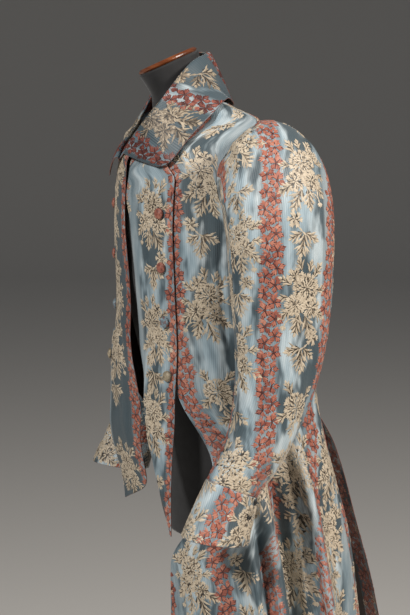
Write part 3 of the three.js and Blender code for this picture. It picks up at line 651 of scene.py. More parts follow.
def feather_leaf(length, width, teeth):
    """A feathery leaf that points along +X from the origin: combed strokes, dark between, in loose tufts. The dark
    between is partly outlining and partly painted shade between the raised strokes.
    """
    found = [petal(length * f, 0, 0, length * 0.5, width * 0.3, 0.1, 0.08) for f in (-0.04, 0.24, 0.5)]
    for i in range(teeth):
        f = (i + 0.4) / teeth
        reach = width * 0.5 * (0.62 + 0.86 * math.sin(math.pi * min(1, 0.25 + 0.75 * f))) * (1.06 - 0.42 * f)
        for sign in (-1, 1):
            spread = 0.22 + 0.5 * (i % 3) / 2 + rng.uniform(0, 0.22)
            found.append(petal(length * f - 1.5, sign * 0.2, sign * spread, reach * rng.uniform(1.0, 1.3),
                               length * 0.27 / teeth + 0.55, 0.75, LIT + rng.uniform(-0.34, 0.2)))
    found.append(petal(length * 0.86, 0, 0, width * 0.42, 1.8, 0.75, LIT + 0.1))
    return found


def stem(points, width):
    """Short strokes end to end."""
    return [petal(x0, y0, math.atan2(y1 - y0, x1 - x0), math.hypot(x1 - x0, y1 - y0) * 1.35, width, 0.5, LIT)
            for (x0, y0), (x1, y1) in zip(points, points[1:])]


def tassel():
    """A curled stalk that ends in a small tassel, below a bouquet."""
    turns = [math.radians(150 - 140 * i / 6) for i in range(7)]
    found = stem([(17 + 13 * math.cos(a), -44 + 13 * math.sin(a)) for a in turns], 1.4)
    return found + [petal(31, -42, math.radians(-80) + i * 0.42, 9 * (1 - 0.12 * abs(i)), 1.5, 0.6,
                          LIT + rng.uniform(-0.15, 0.15)) for i in range(-2, 3)]


def bouquet():
    """Full blooms in a mass of feathery leaves that droops below."""
    found = []
    for x, y, turn, length, width, teeth in (
        (-3, -27, -114, 33, 25, 10), (8, -24, -80, 31, 23, 10), (20, -16, -42, 24, 19, 8),
        (-20, -22, -152, 22, 19, 8), (-18, 26, 126, 22, 19, 7), (20, 18, 30, 20, 17, 7), (-25, 6, 170, 15, 15, 6),
        (3, 38, 70, 17, 15, 6), (26, 0, -6, 13, 14, 5), (-10, 34, 104, 16, 14, 6),
    ):
        found += moved(feather_leaf(length, width, teeth), x, y, math.radians(turn))
    found += tassel()
    for radius, x, y in ((15.5, 14, -12), (14, -14, -17), (22, -4, 12), (10.5, 14, 30)):
        found += moved(bloom(radius), x, y)
    return found


def sprig():
    """A small bent spray with a bud and feathery leaves."""
    found = stem([(-17, 24), (-12, 17), (-6, 11), (1, 6)], 1.6) + moved(bloom(9), -18, 26)
    for length, width, teeth, x, turn in ((32, 27, 10, 0, -97), (23, 20, 8, 2, -24), (20, 18, 7, -5, -152)):
        found += moved(feather_leaf(length, width, teeth), x, 8, math.radians(turn))
    return found


def rose():
    """One big open bloom with leaves about it."""
    found = []
    for x, y, turn, length in ((-14, -13, -135, 20), (14, -12, -42, 19), (12, 16, 52, 20), (-14, 16, 130, 18),
                               (0, -18, -92, 23)):
        found += moved(feather_leaf(length, 17, 6), x, y, math.radians(turn))
    return found + bloom(22, 0.94)


def small_flower(radius):
    """Five lobes, each of three short strokes on a dark underlay: partly outlining, partly painted shade between the
    strokes.
    """
    start = rng.uniform(0, 6.3)
    found = []
    for i in range(5):
        a = start + 2 * math.pi * i / 5 + rng.uniform(-0.12, 0.12)
        shade = 0.56 + rng.uniform(-0.18, 0.18)
        found.append(petal(0, 0, a, radius * 1.12, radius * 0.4, 0.1, 0.04, CORAL))
        for turn, reach in ((-0.36, 0.86), (0.04, 1.02), (0.42, 0.84)):
            found.append(petal(1.9 * math.cos(a), 1.9 * math.sin(a), a + turn, radius * reach, radius * 0.115, 0.9,
                               shade + rng.uniform(-0.1, 0.14), CORAL))
    found.append(petal(-1.6, 0, 0, 3.2, 1.4, 1.1, 0.1, CORAL))
    return found


def garland(length, start):
    """A close winding band of small coral flowers and leaves, from t = start down for a length."""
    found = []
    for i in range(int(length / GARLAND_STEP) + 2):
        along = -(start + i * GARLAND_STEP)
        sway = 2.2 * math.sin(along / 19)
        side = 1 if i % 2 else -1
        found += moved(small_flower(rng.uniform(10.6, 12.6)), sway + side * rng.uniform(6.2, 8.6), along)
        for turn in (1.0, 1.5, 2.0):
            found.append(petal(sway - side * 6, along - 3, math.pi / 2 + side * turn, rng.uniform(8, 11), 1.5, 0.7,
                               rng.uniform(0.4, 0.9), CORAL))
    return found


# Where the cut takes a garland closer to an edge than the repeat would: for a garland, (t, further across).
SHIFTS = {
    "front_left": {-1: [(600, -20), (900, -10)], 1: [(250, 36), (470, 0)]},
    "back_left": {0: [(380, 0), (470, 38), (1200, 20)]},
    "sleeve_upper_left": {-1: [(190, -18), (330, 0)]},
    "waistcoat_left": {-1: [(0, -36), (500, -20)]},
    "waistcoat_right": {1: [(0, 40), (500, 40)]},
}
MOTIFS = {"b": bouquet, "s": sprig, "r": rose}


def weave(piece, line, phase=0.0, columns={}, shifts={}):
    """The petals of the whole pattern that falls on a piece, in its own cloth millimetres. line holds (t, s) of the
    first garland, phase the height of a bouquet in the first column, and columns those whose motifs keep no repeat:
    their kinds, a letter each, their t, and how far beside the column they stand if not in it. shifts holds the
    garlands that run elsewhere than the repeat."""
    s, t = piece[2:]
    line_t, line_s = np.array(line, float).T

    def bent(petals, across, places, further):
        return [(x + across + float(np.interp(-y, places, further)), y, *rest) for x, y, *rest in petals]

    found = []
    first_k = math.floor((s.min() - max(line_s)) / REPEAT_ACROSS) - 1
    last_k = math.ceil((s.max() - min(line_s)) / REPEAT_ACROSS)
    for k in range(first_k, last_k + 1):
        nearest, furthest = k * REPEAT_ACROSS + min(line_s), k * REPEAT_ACROSS + max(line_s)
        if furthest > s.min() - GARLAND_REACH and nearest < s.max() + GARLAND_REACH:
            band = garland(t[-1] - t[0] + 30, t[0] - 15)
            band = bent(band, 0, *np.array(shifts.get(k, [(0, 0)]), float).T)
            found += bent(band, k * REPEAT_ACROSS, line_t, line_s)
        nearest, furthest = nearest + REPEAT_ACROSS / 2, furthest + REPEAT_ACROSS / 2
        if furthest < s.min() - MOTIF_REACH or nearest > s.max() + MOTIF_REACH:
            continue
        if k in columns:
            kinds, heights, *besides = columns[k]
        else:
            first = phase + (HALF_DROP if k % 2 else 0) * REPEAT_ALONG
            first -= math.ceil((first - t[0] + MOTIF_LENGTH) / REPEAT_ALONG) * REPEAT_ALONG
            heights, besides = [], []
            while first < t[-1] + MOTIF_LENGTH:
                heights += [first, first + 0.56 * REPEAT_ALONG]
                first += REPEAT_ALONG
            kinds = "bs" * len(heights)
        for i, (kind, at) in enumerate(zip(kinds, heights)):
            jog = rng.uniform(-3, 3) + (besides[0][i] if besides else 0)
            mirror = bool((k + i // 2) % 2) != (kind == "s")
            motif = moved(MOTIFS[kind](), jog, -at, rng.uniform(-0.12, 0.12), mirror)
            found += bent(motif, (k + 0.5) * REPEAT_ACROSS, line_t, line_s)
    return found


def place_on(piece, s, t, height):
    """Points of the cloth of a piece at (s, t), raised by a height. Also says which lie on the piece."""
    grid, normal, across, along = piece
    row = np.interp(t, along, np.arange(len(along)))
    r = np.clip(row.astype(int), 0, len(along) - 2)
    fr = (row - r)[:, None]
    line = across[r] * (1 - fr) + across[r + 1] * fr
    c = np.clip((line <= s[:, None]).sum(axis=1) - 1, 0, line.shape[1] - 2)
    low = np.take_along_axis(line, c[:, None], 1)[:, 0]
    high = np.take_along_axis(line, c[:, None] + 1, 1)[:, 0]
    fc = np.clip((s - low) / (high - low), 0, 1)[:, None]
    inside = (t > along[0]) & (t < along[-1]) & (s > line[:, 0]) & (s < line[:, -1])

    def blend(field):
        return (
            (field[r, c] * (1 - fc) + field[r, c + 1] * fc) * (1 - fr)
            + (field[r + 1, c] * (1 - fc) + field[r + 1, c + 1] * fc) * fr
        )

    return blend(grid) + unit(blend(normal)) * height[:, None], inside


def petals_on(piece, petals):
    """Vertices, faces, tones and floss of the petals laid on a piece. Each petal is a low ridge of four faces."""
    rows = np.array([p[:7] for p in petals])
    floss = np.array([p[7] for p in petals])
    x, y, angle, length, width, height, tone = rows.T
    forward = np.stack([np.cos(angle), np.sin(angle)], axis=1)
    sideways = np.stack([-forward[:, 1], forward[:, 0]], axis=1)
    rim = np.where(height < 0.2, 0.08, np.where(height > 1.2, 0.6, 0.2))
    laid, inside = [], []
    for ahead, aside, lift in ((0, 0, rim), (0.55, -1, rim), (1, 0, rim), (0.55, 1, rim), (0.5, 0, height)):
        corner = np.stack([x, y], axis=1) + forward * (ahead * length)[:, None] + sideways * (aside * width)[:, None]
        point, ok = place_on(piece, corner[:, 0], -corner[:, 1], lift)
        laid.append(point)
        inside.append(ok)
    keep = inside[4] & (sum(ok.astype(int) for ok in inside) >= 3)
    vertices = np.stack(laid, axis=1)[keep]
    count = len(vertices)
    offset = (np.arange(count) * 5)[:, None, None]
    faces = np.array([[0, 1, 4], [1, 2, 4], [2, 3, 4], [3, 0, 4]])[None] + offset
    return vertices.reshape(-1, 3), faces.reshape(-1, 3), np.repeat(tone[keep], 5), np.repeat(floss[keep], 4)


# ---------- meshes ----------
def make_mesh(name, vertices, faces, materials, face_materials=None, fields=None):
    """An object from points in millimetres. fields are values stored at the points, by name."""
    mesh = bpy.data.meshes.new(name)
    faces = np.asarray(faces, np.int32)
    mesh.vertices.add(len(vertices))
    mesh.vertices.foreach_set("co", metres(vertices).astype(np.float32).ravel())
    mesh.loops.add(faces.size)
    mesh.loops.foreach_set("vertex_index", faces.ravel())
    mesh.polygons.add(len(faces))
    mesh.polygons.foreach_set("loop_start", np.arange(0, faces.size, faces.shape[1], dtype=np.int32))
    mesh.polygons.foreach_set("use_smooth", np.ones(len(faces), bool))
    for material in materials:
        mesh.materials.append(material)
    if face_materials is not None:
        mesh.polygons.foreach_set("material_index", np.asarray(face_materials, np.int32))
    for field, values in (fields or {}).items():
        values = np.asarray(values, np.float32)
        kind, key = ("FLOAT", "value") if values.ndim == 1 else ("FLOAT_VECTOR", "vector")
        mesh.attributes.new(field, kind, "POINT").data.foreach_set(key, values.ravel())
    mesh.update(calc_edges=True)
    mesh.validate()
    made = bpy.data.objects.new(name, mesh)
    bpy.context.scene.collection.objects.link(made)
    return made


THICKNESS = 1.3
VENT_T = 300  # how far below the underarm the vent opens
FACING = 9  # columns of a back's grid that are faced with the silk along the vent


def shell(name, piece, line, facing=0, slate_and_painted_shade=0.0):
    """A cloth piece: its face, its lining behind it and a soft rounded edge. Below the top of the vent the last
    columns, as many as facing, are faced with the silk."""
    grid, normal, s, t = piece
    rows, columns = s.shape
    index = np.arange(rows * columns).reshape(rows, columns)
    along = np.broadcast_to(t[:, None], s.shape)
    line_t, line_s = np.array(line, float).T
    cloth = np.stack([s - np.interp(along, line_t, line_s), along, s], axis=-1).reshape(-1, 3) / 1000
    face = grid.reshape(-1, 3)
    inner = (grid - normal * THICKNESS).reshape(-1, 3)
    rim = np.concatenate([index[0, :-1], index[:-1, -1], index[-1, :0:-1], index[:0:-1, 0]])
    ahead = np.roll(face[rim], -1, axis=0) - np.roll(face[rim], 1, axis=0)
    outwards = unit(np.cross(ahead, normal.reshape(-1, 3)[rim]))
    centre = face.mean(axis=0)
    if ((face[rim] - centre) * outwards).sum() < 0:
        outwards = -outwards
    middle = (face[rim] + inner[rim]) / 2 + outwards * THICKNESS * 0.35
    vertices = np.vstack([face, inner, middle])
    front = np.stack([index[:-1, :-1], index[1:, :-1], index[1:, 1:], index[:-1, 1:]], axis=-1).reshape(-1, 4)
    mid = 2 * rows * columns + np.arange(len(rim))
    ahead_mid, ahead_rim = np.roll(mid, -1), np.roll(rim, -1)
    back_rim, back_ahead = rim + rows * columns, ahead_rim + rows * columns
    upper = np.stack([rim, ahead_rim, ahead_mid, mid], axis=-1)
    lower = np.stack([mid, ahead_mid, back_ahead, back_rim], axis=-1)
    faces = [front, front[:, ::-1] + rows * columns, upper, lower]
    first = face[front[:, 1]] - face[front[:, 0]]
    second = face[front[:, 3]] - face[front[:, 0]]
    if (np.cross(first, second) * normal.reshape(-1, 3)[front[:, 0]]).sum() < 0:
        faces = [block[:, ::-1] for block in faces]
    slots = np.repeat([0, 1, 2, 2], [len(block) for block in faces])
    if facing:
        row, column = np.divmod(np.arange(len(front)), columns - 1)
        faced = (t[row] > VENT_T) & (column >= columns - 1 - facing)
        slots[len(front):2 * len(front)][faced] = 0
    fields = {"cloth": np.vstack([cloth, cloth, cloth[rim]]), "slate_and_painted_shade": np.full(len(vertices), slate_and_painted_shade)}
    return make_mesh(name, vertices, np.vstack(faces), [silk, lining, edging], slots, fields)


def brocade(name, piece, petals):
    """The floss of a piece, in one mesh."""
    vertices, faces, tone, floss = petals_on(piece, petals)
    return make_mesh(name, vertices, faces, [cream_floss, coral_floss, painted_slot_shade], floss, {"tone": tone})


def turned(profile, segments):
    """Rings of points of a turned shape about Z, from (radius, height) pairs."""
    turns = np.linspace(0, 2 * math.pi, segments, endpoint=False)
    return np.array([np.stack([r * np.cos(turns), r * np.sin(turns), 0 * turns + h], axis=-1) for r, h in profile])


def ring_faces(rings):
    """Four-sided faces between closed rings of points."""
    count, turns = rings.shape[:2]
    index = np.arange(count * turns).reshape(count, turns)
    ahead = np.roll(index, -1, axis=1)
    return np.stack([index[:-1], ahead[:-1], ahead[1:], index[1:]], axis=-1).reshape(-1, 4)


def closed_stack(rings):
    """Points and faces of a solid through closed rings of points, with a flat end at each."""
    count, turns = rings.shape[:2]
    sides = ring_faces(rings)
    points = np.vstack([rings.reshape(-1, 3), rings[0].mean(axis=0), rings[-1].mean(axis=0)])
    here = np.arange(turns)
    ahead, centre, top = np.roll(here, -1), np.full(turns, count * turns), (count - 1) * turns
    return points, np.vstack([sides[:, :3], sides[:, [0, 2, 3]], np.stack([centre, ahead, here], axis=-1),
                              np.stack([centre + 1, top + here, top + ahead], axis=-1)])


# ---------- materials ----------
def colour(code):
    """An sRGB hex colour as linear RGBA."""
    parts = [int(code[i:i + 2], 16) / 255 for i in (1, 3, 5)]
    return [p / 12.92 if p <= 0.04045 else ((p + 0.055) / 1.055) ** 2.4 for p in parts] + [1.0]


class Nodes:
    """A material's node tree, built one node at a time."""

    def __init__(self, name):
        self.material = bpy.data.materials.new(name)
        self.material.use_nodes = True
        self.tree = self.material.node_tree
        self.tree.nodes.clear()
        self.output = self.tree.nodes.new("ShaderNodeOutputMaterial")

    def add(self, kind, settings=None, **inputs):
        node = self.tree.nodes.new("ShaderNode" + kind)
        for key, value in (settings or {}).items():
            setattr(node, key, value)
        for key, value in inputs.items():
            socket = node.inputs[int(key[1:]) if key[1:].isdigit() else key.replace("_", " ")]
            if isinstance(value, bpy.types.NodeSocket):
                self.tree.links.new(value, socket)
            else:
                socket.default_value = value
        return node

    def math(self, operation, a, b=0.0, c=0.0):
        return self.add("Math", {"operation": operation}, i0=a, i1=b, i2=c).outputs[0]

    def times(self, a, b):
        return self.math("MULTIPLY", a, b)

    def plus(self, a, b):
        return self.math("ADD", a, b)

    def smooth(self, value, low, high):
        node = self.add("MapRange", {"interpolation_type": "SMOOTHSTEP"}, Value=value, From_Min=low, From_Max=high)
        return node.outputs[0]

    def blend(self, factor, a, b, mode="MIX"):
        node = self.add("Mix", {"data_type": "RGBA", "blend_type": mode}, i0=factor, i6=a, i7=b)
        return node.outputs[2]

    def ramp(self, factor, stops):
        node = self.add("ValToRGB", i0=factor)
        elements = node.color_ramp.elements
        while len(elements) < len(stops):
            elements.new(0.5)
        for element, (position, code) in zip(elements, stops):
            element.position = position
            element.color = colour(code)
        return node.outputs[0]

    def noise(self, vector, scale, detail=2.0, roughness=0.5):
        return self.add("TexNoise", Vector=vector, Scale=scale, Detail=detail, Roughness=roughness).outputs[0]

    def stretch(self, vector, x, y, z):
        return self.add("VectorMath", {"operation": "MULTIPLY"}, i0=vector, i1=(x, y, z)).outputs[0]

    def bump(self, height, strength, distance):
        return self.add("Bump", Height=height, Strength=strength, Distance=distance).outputs[0]

    def finish(self, **inputs):
        surface = self.add("BsdfPrincipled", **inputs)
        self.tree.links.new(surface.outputs[0], self.output.inputs[0])
        return self.material


def ribbed_silk():
    """Pale blue silk with fine raised ribs down the cloth, clouded with slate between the garlands."""
    n = Nodes("brocaded_silk_ground")
    place = n.add("Attribute", {"attribute_name": "cloth"}).outputs["Vector"]
    parts = n.add("SeparateXYZ", Vector=place)
    repeat = REPEAT_ACROSS / 1000
    off = n.times(n.math("PINGPONG", n.math("DIVIDE", parts.outputs[0], repeat), 0.5), repeat * 1000)
    # Extra slate cloud that a piece asks for: on the far waistcoat front and the collar it is painted shade.
    slate_and_painted_shade = n.add("Attribute", {"attribute_name": "slate_and_painted_shade"}).outputs["Fac"]
    drift = n.noise(n.stretch(place, 23, 8, 0), 1.0, 3.0, 0.6)
    cloud = n.smooth(n.plus(drift, slate_and_painted_shade), 0.43, 0.57)
    slate = n.times(n.math("MULTIPLY_ADD", n.smooth(off, 9, 19), 0.5, 0.5), cloud)
    wide = n.noise(n.stretch(place, 30, 7, 5), 1.0, 3.0, 0.6)
    ground = n.ramp(wide, [(0.34, "#6F828C"), (0.47, "#96A8B1"), (0.64, "#C0CBCF")])
    band = n.math("SUBTRACT", 1.0, n.smooth(off, 15, 22))
    body = n.blend(n.math("MAXIMUM", n.times(slate, 0.92), n.times(band, 0.4)), ground,
                   colour("#36444B"))
    # The ribs and long streaks also lighten and darken the colour: painted light and shade across the ribs, and
    # painted sheen in the streaks.
    ribs = n.math("SINE", n.times(parts.outputs[2], 2 * math.pi / 0.0033))
    painted_sheen = n.noise(n.stretch(place, 500, 12, 0), 1.0, 1.0)
    shade = n.add("MapRange", Value=n.plus(n.times(ribs, 0.35), painted_sheen), From_Min=-0.1,
                  From_Max=1.1, To_Min=0.84, To_Max=1.08).outputs[0]
    shaded = n.blend(1.0, body, n.add("CombineXYZ", X=shade, Y=shade, Z=shade).outputs[0], "MULTIPLY")
    height = n.plus(n.times(ribs, 0.3), n.noise(n.stretch(place, 50, 22, 0), 1.0, 3.0))
    return n.finish(Base_Color=shaded, Roughness=0.46, Sheen_Weight=0.15, Sheen_Roughness=0.4,
                    Specular_IOR_Level=0.32, Normal=n.bump(height, 0.5, 0.0006))


def floss(name, stops, roughness):
    """Untwisted silk floss of the woven flowers: matt with a soft sheen, each petal in its own shade."""
    n = Nodes(name)
    tone = n.add("Attribute", {"attribute_name": "tone"}).outputs["Fac"]
    place = n.add("TexCoord").outputs["Object"]
    speck = n.times(n.math("SUBTRACT", n.noise(place, 420, 2.0), 0.5), 0.35)
    worn = n.times(n.math("SUBTRACT", n.noise(place, 14, 2.0), 0.5), 0.5)
    shades = n.ramp(n.plus(n.plus(tone, speck), worn), stops)
    return n.finish(Base_Color=shades, Roughness=roughness, Sheen_Weight=0.1, Sheen_Roughness=0.5,
                    Normal=n.bump(n.noise(place, 900, 2.0), 0.4, 0.0004))


def plain_silk(name, dark, light):
    """Plain woven silk, slubbed a little."""
    n = Nodes(name)
    place = n.add("Attribute", {"attribute_name": "cloth"}).outputs["Vector"]
    body = n.ramp(n.noise(n.stretch(place, 40, 18, 0), 1.0, 2.0), [(0.3, dark), (0.7, light)])
    return n.finish(Base_Color=body, Roughness=0.5, Sheen_Weight=0.1,
                    Normal=n.bump(n.noise(n.stretch(place, 1500, 1500, 0), 1.0), 0.3, 0.0003))


def matt_cloth(name, stops, clouds, grain, bump, roughness=0.5, sheen=0.1):
    """Cloth whose colour drifts in clouds, with a fine grain."""
    n = Nodes(name)
    place = n.add("TexCoord").outputs["Object"]
    return n.finish(Base_Color=n.ramp(n.noise(place, *clouds), stops), Roughness=roughness, Sheen_Weight=sheen,
                    Normal=n.bump(n.noise(place, *grain), *bump))


def varnished_wood():
    """Orange-brown wood under gloss varnish, its grain running round the turned parts."""
    n = Nodes("varnished_beech")
    place = n.add("TexCoord").outputs["Object"]
    grain = n.noise(n.stretch(place, 30, 30, 260), 1.0, 4.0, 0.6)
    body = n.ramp(grain, [(0.25, "#44210F"), (0.5, "#693619"), (0.75, "#874E2A")])
    return n.finish(Base_Color=body, Roughness=0.30, Coat_Weight=0.9, Coat_Roughness=0.08,
                    Normal=n.bump(grain, 0.15, 0.0003))


silk = ribbed_silk()
# The lining's near-black brown is partly its own colour and partly painted shade, standing for the shadow inside the
# robe.
lining = plain_silk("silk_lining", "#33271F", "#43342A")
edging = plain_silk("turned_edge", "#4C2A25", "#7A4A40")
cream_floss = floss("cream_floss", [(0.0, "#2E2820"), (0.3, "#776A59"), (0.6, "#A89A85"), (1.0, "#C9BBA5")], 0.55)
coral_floss = floss("coral_floss", [(0.0, "#421A16"), (0.3, "#7E4135"), (0.62, "#A2624F"), (1.0, "#C08A76")], 0.5)
# Black for the cuff's slots: painted shade inside the openings.
painted_slot_shade = floss("painted_slot_shade", [(0.0, "#0B0A0A"), (1.0, "#1A1716")], 0.7)
# Close charcoal jersey over the form.
jersey = matt_cloth("form_jersey", [(0.3, "#161617"), (0.7, "#202022")], (60, 3.0), (1800, 1.0), (0.35, 0.0003),
                    0.85, 0.15)
wood = varnished_wood()

# ---------- the pieces, with the line of the first garland in each ----------
LINES = {
    "front_left": [(-257, 2), (150, 4), (220, 20), (284, 22), (326, 17), (378, 22), (430, 42), (485, 68), (550, 99),
                   (600, 118), (800, 140), (1191, 175)],
    "back_left": [(-250, -70), (200, -62), (334, -72), (394, -100), (459, -137), (541, -182), (613, -204),
                  (1200, -330)],
    "sleeve_upper_left": [(0, 0), (81, 18), (145, 35), (190, 41), (286, 45), (373, 46), (412, 44), (456, 37),
                          (504, 27), (549, 11), (594, -14), (640, -38)],
    "sleeve_under_left": [(0, 52), (640, 52)],
    "waistcoat_left": [(-102, 4), (-27, 4), (74, 6), (181, 1), (250, 4), (367, 1), (545, 4)],
    "waistcoat_right": [(-102, -132), (214, -125), (268, -120), (342, -102), (415, -98), (545, -85)],
    "cuff_left": [(0, 14), (41, 25), (85, 30)],
    "cuff_right": [(0, 30), (85, 30)],
}
for kind in ("front", "back", "sleeve_upper", "sleeve_under"):
    LINES[kind + "_right"] = LINES[kind + "_left"]
# Where a bouquet stands in the columns that keep the repeat.
PHASES = {"front_left": 20, "front_right": 60, "back_left": 40, "back_right": 110, "sleeve_upper_left": 63,
          "sleeve_upper_right": 40, "sleeve_under_left": 100, "sleeve_under_right": 20, "cuff_left": 46,
          "cuff_right": 48, "waistcoat_left": 0, "waistcoat_right": 90}
# The other columns: bouquets, sprigs and roses by their first letters, their t and how far beside the column.
COLUMNS = {
    "front_left": {
        0: ("sbsbrsbsbsbsbs", (-190, -88, 12, 110, 248, 300, 400, 548, 640, 735, 825, 920, 1010, 1100)),
        -1: ("bsbsbsb", (565, 660, 750, 845, 935, 1030, 1120)),
    },
    "back_left": {
        -1: ("bsbsbsbbsbsbsbs", (-190, -95, 0, 95, 190, 285, 385, 492, 560, 628, 730, 820, 920, 1010, 1110)),
        -2: ("sbsbssbsbsbsbsb", (-190, -95, 0, 95, 190, 290, 375, 460, 545, 640, 735, 830, 920, 1020, 1110)),
    },
    "sleeve_upper_left": {
        -1: ("sbsbsrb", (55, 150, 247, 330, 412, 487, 590)),
        0: ("bsbsbsb", (66, 162, 243, 338, 425, 525, 608)),
    },
    "waistcoat_left": {-1: ("sbsbsbs", (-75, 28, 122, 212, 290, 358, 482))},
    # On the far waistcoat front the bouquets stand further out towards its outer edge, leaving more of its inner
    # part, which lies in shadow, to the slate: painted shade.
    "waistcoat_right": {0: ("bbbbsb", (-50, 40, 160, 262, 340, 478), (0, 18, 20, 20, 14, 4))},
    "cuff_left": {-1: ("b", (44,)), 0: ("sb", (6, 82))},
    "collar": {0: ("s", (90,)), 1: ("b", (81,)), 2: ("", ())},
    "vent": {-1: ("bsbsbsbsb", (380, 470, 560, 650, 740, 830, 920, 1010, 1100))},
}
# Creases that the wearing has left: from s, t to s, t, half width, depth.
CREASES = {
    "sleeve_upper": (
        (22, 26, 57, 88, 2.4, -3.4), (12, 30, 45, 98, 5, 1.8), (93, 343, 60, 339, 1.2, -1.4),
        (-12, 360, -74, 390, 1.3, -2.0), (12, 426, -12, 426, 1.4, -0.9), (-62, 130, -52, 270, 7, -2.4),
        (-44, 180, -36, 320, 5, 1.8), (74, 400, 58, 560, 9, 3.2), (52, 420, 38, 575, 6, -2.4),
        (-30, 430, -58, 560, 8, -2.6), (-4, 440, -30, 590, 6, 2.0), (100, 150, 96, 260, 6, -1.8),
        (84, 20, 96, 120, 7, -2.2), (70, 24, 80, 130, 5, 1.8), (-20, 20, -60, 90, 7, -2.0),
        (30, 560, -40, 600, 5, -1.6),
    ),
    "sleeve_under": (
        (-40, 180, 40, 250, 8, -3.0), (-50, 230, 30, 290, 7, 2.4), (-20, 300, 10, 520, 8, -2.4),
        (30, 320, 44, 540, 6, 2.0),
    ),
    "waistcoat": (
        (-108, -12, -14, -16, 1.6, -1.8), (-108, 9, -48, 11, 1.6, -1.6), (-104, -2, -20, -4, 5, 1.3),
        (-90, 40, -60, 170, 8, -1.6), (-70, 200, -84, 330, 9, -2.0), (-50, 330, -66, 470, 7, 1.8),
        (-30, 20, -24, 200, 6, 1.0),
    ),
    "front": (
        (60, -40, 84, 160, 9, -2.8), (86, -30, 104, 180, 7, 2.2), (20, 296, 62, 288, 3.2, 2.0),
        (18, 304, 60, 297, 2.4, -2.0), (48, 150, 60, 300, 8, -2.6), (30, -180, 52, -40, 8, 1.8),
        (70, 200, 84, 360, 8, 2.6), (20, 520, 10, 760, 10, -3.0), (60, 540, 74, 800, 10, 2.6),
        (120, 470, 150, 480, 3, -1.6), (87, -20, 92, 190, 6, -5),
    ),
    "back": (
        (-180, -60, -150, 160, 12, -3.0), (-90, 40, -70, 240, 11, 2.6), (-60, -180, -20, -60, 10, -2.0),
        (-150, 180, -120, 290, 7, -2.6), (-256, 370, -336, 780, 12, -15),
    ),
    "cuff": (
        (40, 8, 70, 62, 6, -1.6), (-10, 10, 6, 76, 7, 1.4), (-60, 12, -50, 70, 5, -1.6),
    ),
}
# How much more of a piece is clouded with slate; the large amount on the far waistcoat front is painted shade, as
# that front stands in shadow.
SLATE_AND_PAINTED_SHADE = {"waistcoat_right": 0.25, "front_left": 0.01, "back_left": 0.015, "sleeve_upper_left": -0.005}
SIDES = ((1, "left"), (-1, "right"))
pieces = {}
for side, word in SIDES:
    pieces[f"front_{word}"] = body_panel(side, False)
    pieces[f"back_{word}"] = body_panel(side, True)
    pieces[f"waistcoat_{word}"] = waistcoat_front(side)
    pieces[f"sleeve_upper_{word}"] = sleeve_piece(side, False)
    pieces[f"sleeve_under_{word}"] = sleeve_piece(side, True)
    pieces[f"cuff_{word}"] = cuff_piece(side)


def creased(piece, creases):
    grid, normal, s, t = piece
    bent = soft_folds(grid, normal, s, t[:, None], creases)
    return bent, normals_of(bent, normal), s, t


def cloth_piece(name, piece, line, petals, faced=None, slate_and_painted_shade=0.0):
    """The silk of a piece with its flowers on it, for the CAD node of the same name. faced holds the petals on the
    inner side of the vent and where they lie."""
    cloth = shell(name + "_silk", piece, line, FACING if faced else 0, slate_and_painted_shade)
    woven = [brocade(name + "_flowers", piece, petals)]
    if faced:
        woven.append(brocade(name + "_facing", *faced))
    for made in [cloth] + woven:
        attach(made, "root")
    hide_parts(name)


def locate(piece, point):
    """Where on a piece a point lies: (s, t)."""
    grid, normal, s, t = piece
    i, j = np.unravel_index(np.argmin(np.linalg.norm(grid - point, axis=-1)), s.shape)
    return s[i, j], t[i]


def buttonhole(s, t):
    """A worked slit that runs from a button towards the free edge."""
    slope = -0.16
    found = [petal(s - 29 + 7 * i, -t - 1.6 + (29 - 7 * i) * slope, -slope, 8.5, 0.7, 1.3, 0.0) for i in range(3)]
    for i in range(12):
        x = s - 29 + 1.9 * i
        y = -t - 1.6 + (s - x) * slope
        for sign in (-1, 1):
            found.append(petal(x, y + sign * 0.7, sign * math.pi / 2, 2.0, 0.7, 1.3, rng.uniform(0.25, 0.5)))
    return found


def cuff_slots():
    """Two short openings where the cuff fastens, painted black as the shade inside them."""
    return [petal(s + x, -t, turn, 12, 3.2, 2.4, 0, BLACK) for s, t in ((-33, 13), (-24, 38))
            for x, turn in ((0, 1.3), (-1.5, 2.1))]


VENT_LINE = [(0, -24), (1300, -24)]
HANGS_FROM = {"front": "jersey_form", "back": "jersey_form", "waistcoat": "jersey_form", "sleeve_upper": "back",
              "sleeve_under": "back", "cuff": "sleeve_upper"}
for name, piece in pieces.items():
    kind, word = name.rsplit("_", 1)
    side = 1 if word == "left" else -1
    piece = pieces[name] = creased(piece, CREASES[kind])
    petals = weave(piece, LINES[name], PHASES[name], COLUMNS.get(name, {}), SHIFTS.get(name, {}))
    if kind == "waistcoat":
        for z, x in BUTTONS:
            petals += buttonhole(*locate(piece, strip_place(side, angle_at_x(side, x, z), np.float64(z))[0]))
    if kind == "cuff":
        petals += cuff_slots()
    faced = None
    if kind == "back":
        grid, normal, s, t = piece
        low = int(np.searchsorted(t, VENT_T)) + 1
        part = (slice(low, None), slice(-FACING - 1, None))
        inside = (grid[part] - normal[part] * THICKNESS, -normal[part], s[part], t[low:])
        faced = (inside, weave(inside, VENT_LINE, 0, COLUMNS["vent"]))
    support = HANGS_FROM[kind]
    if support != "jersey_form":
        support = f"{support}_{word}_silk"
    cloth_piece(name, piece, LINES[name], petals, faced,
                SLATE_AND_PAINTED_SHADE.get(name, 0))

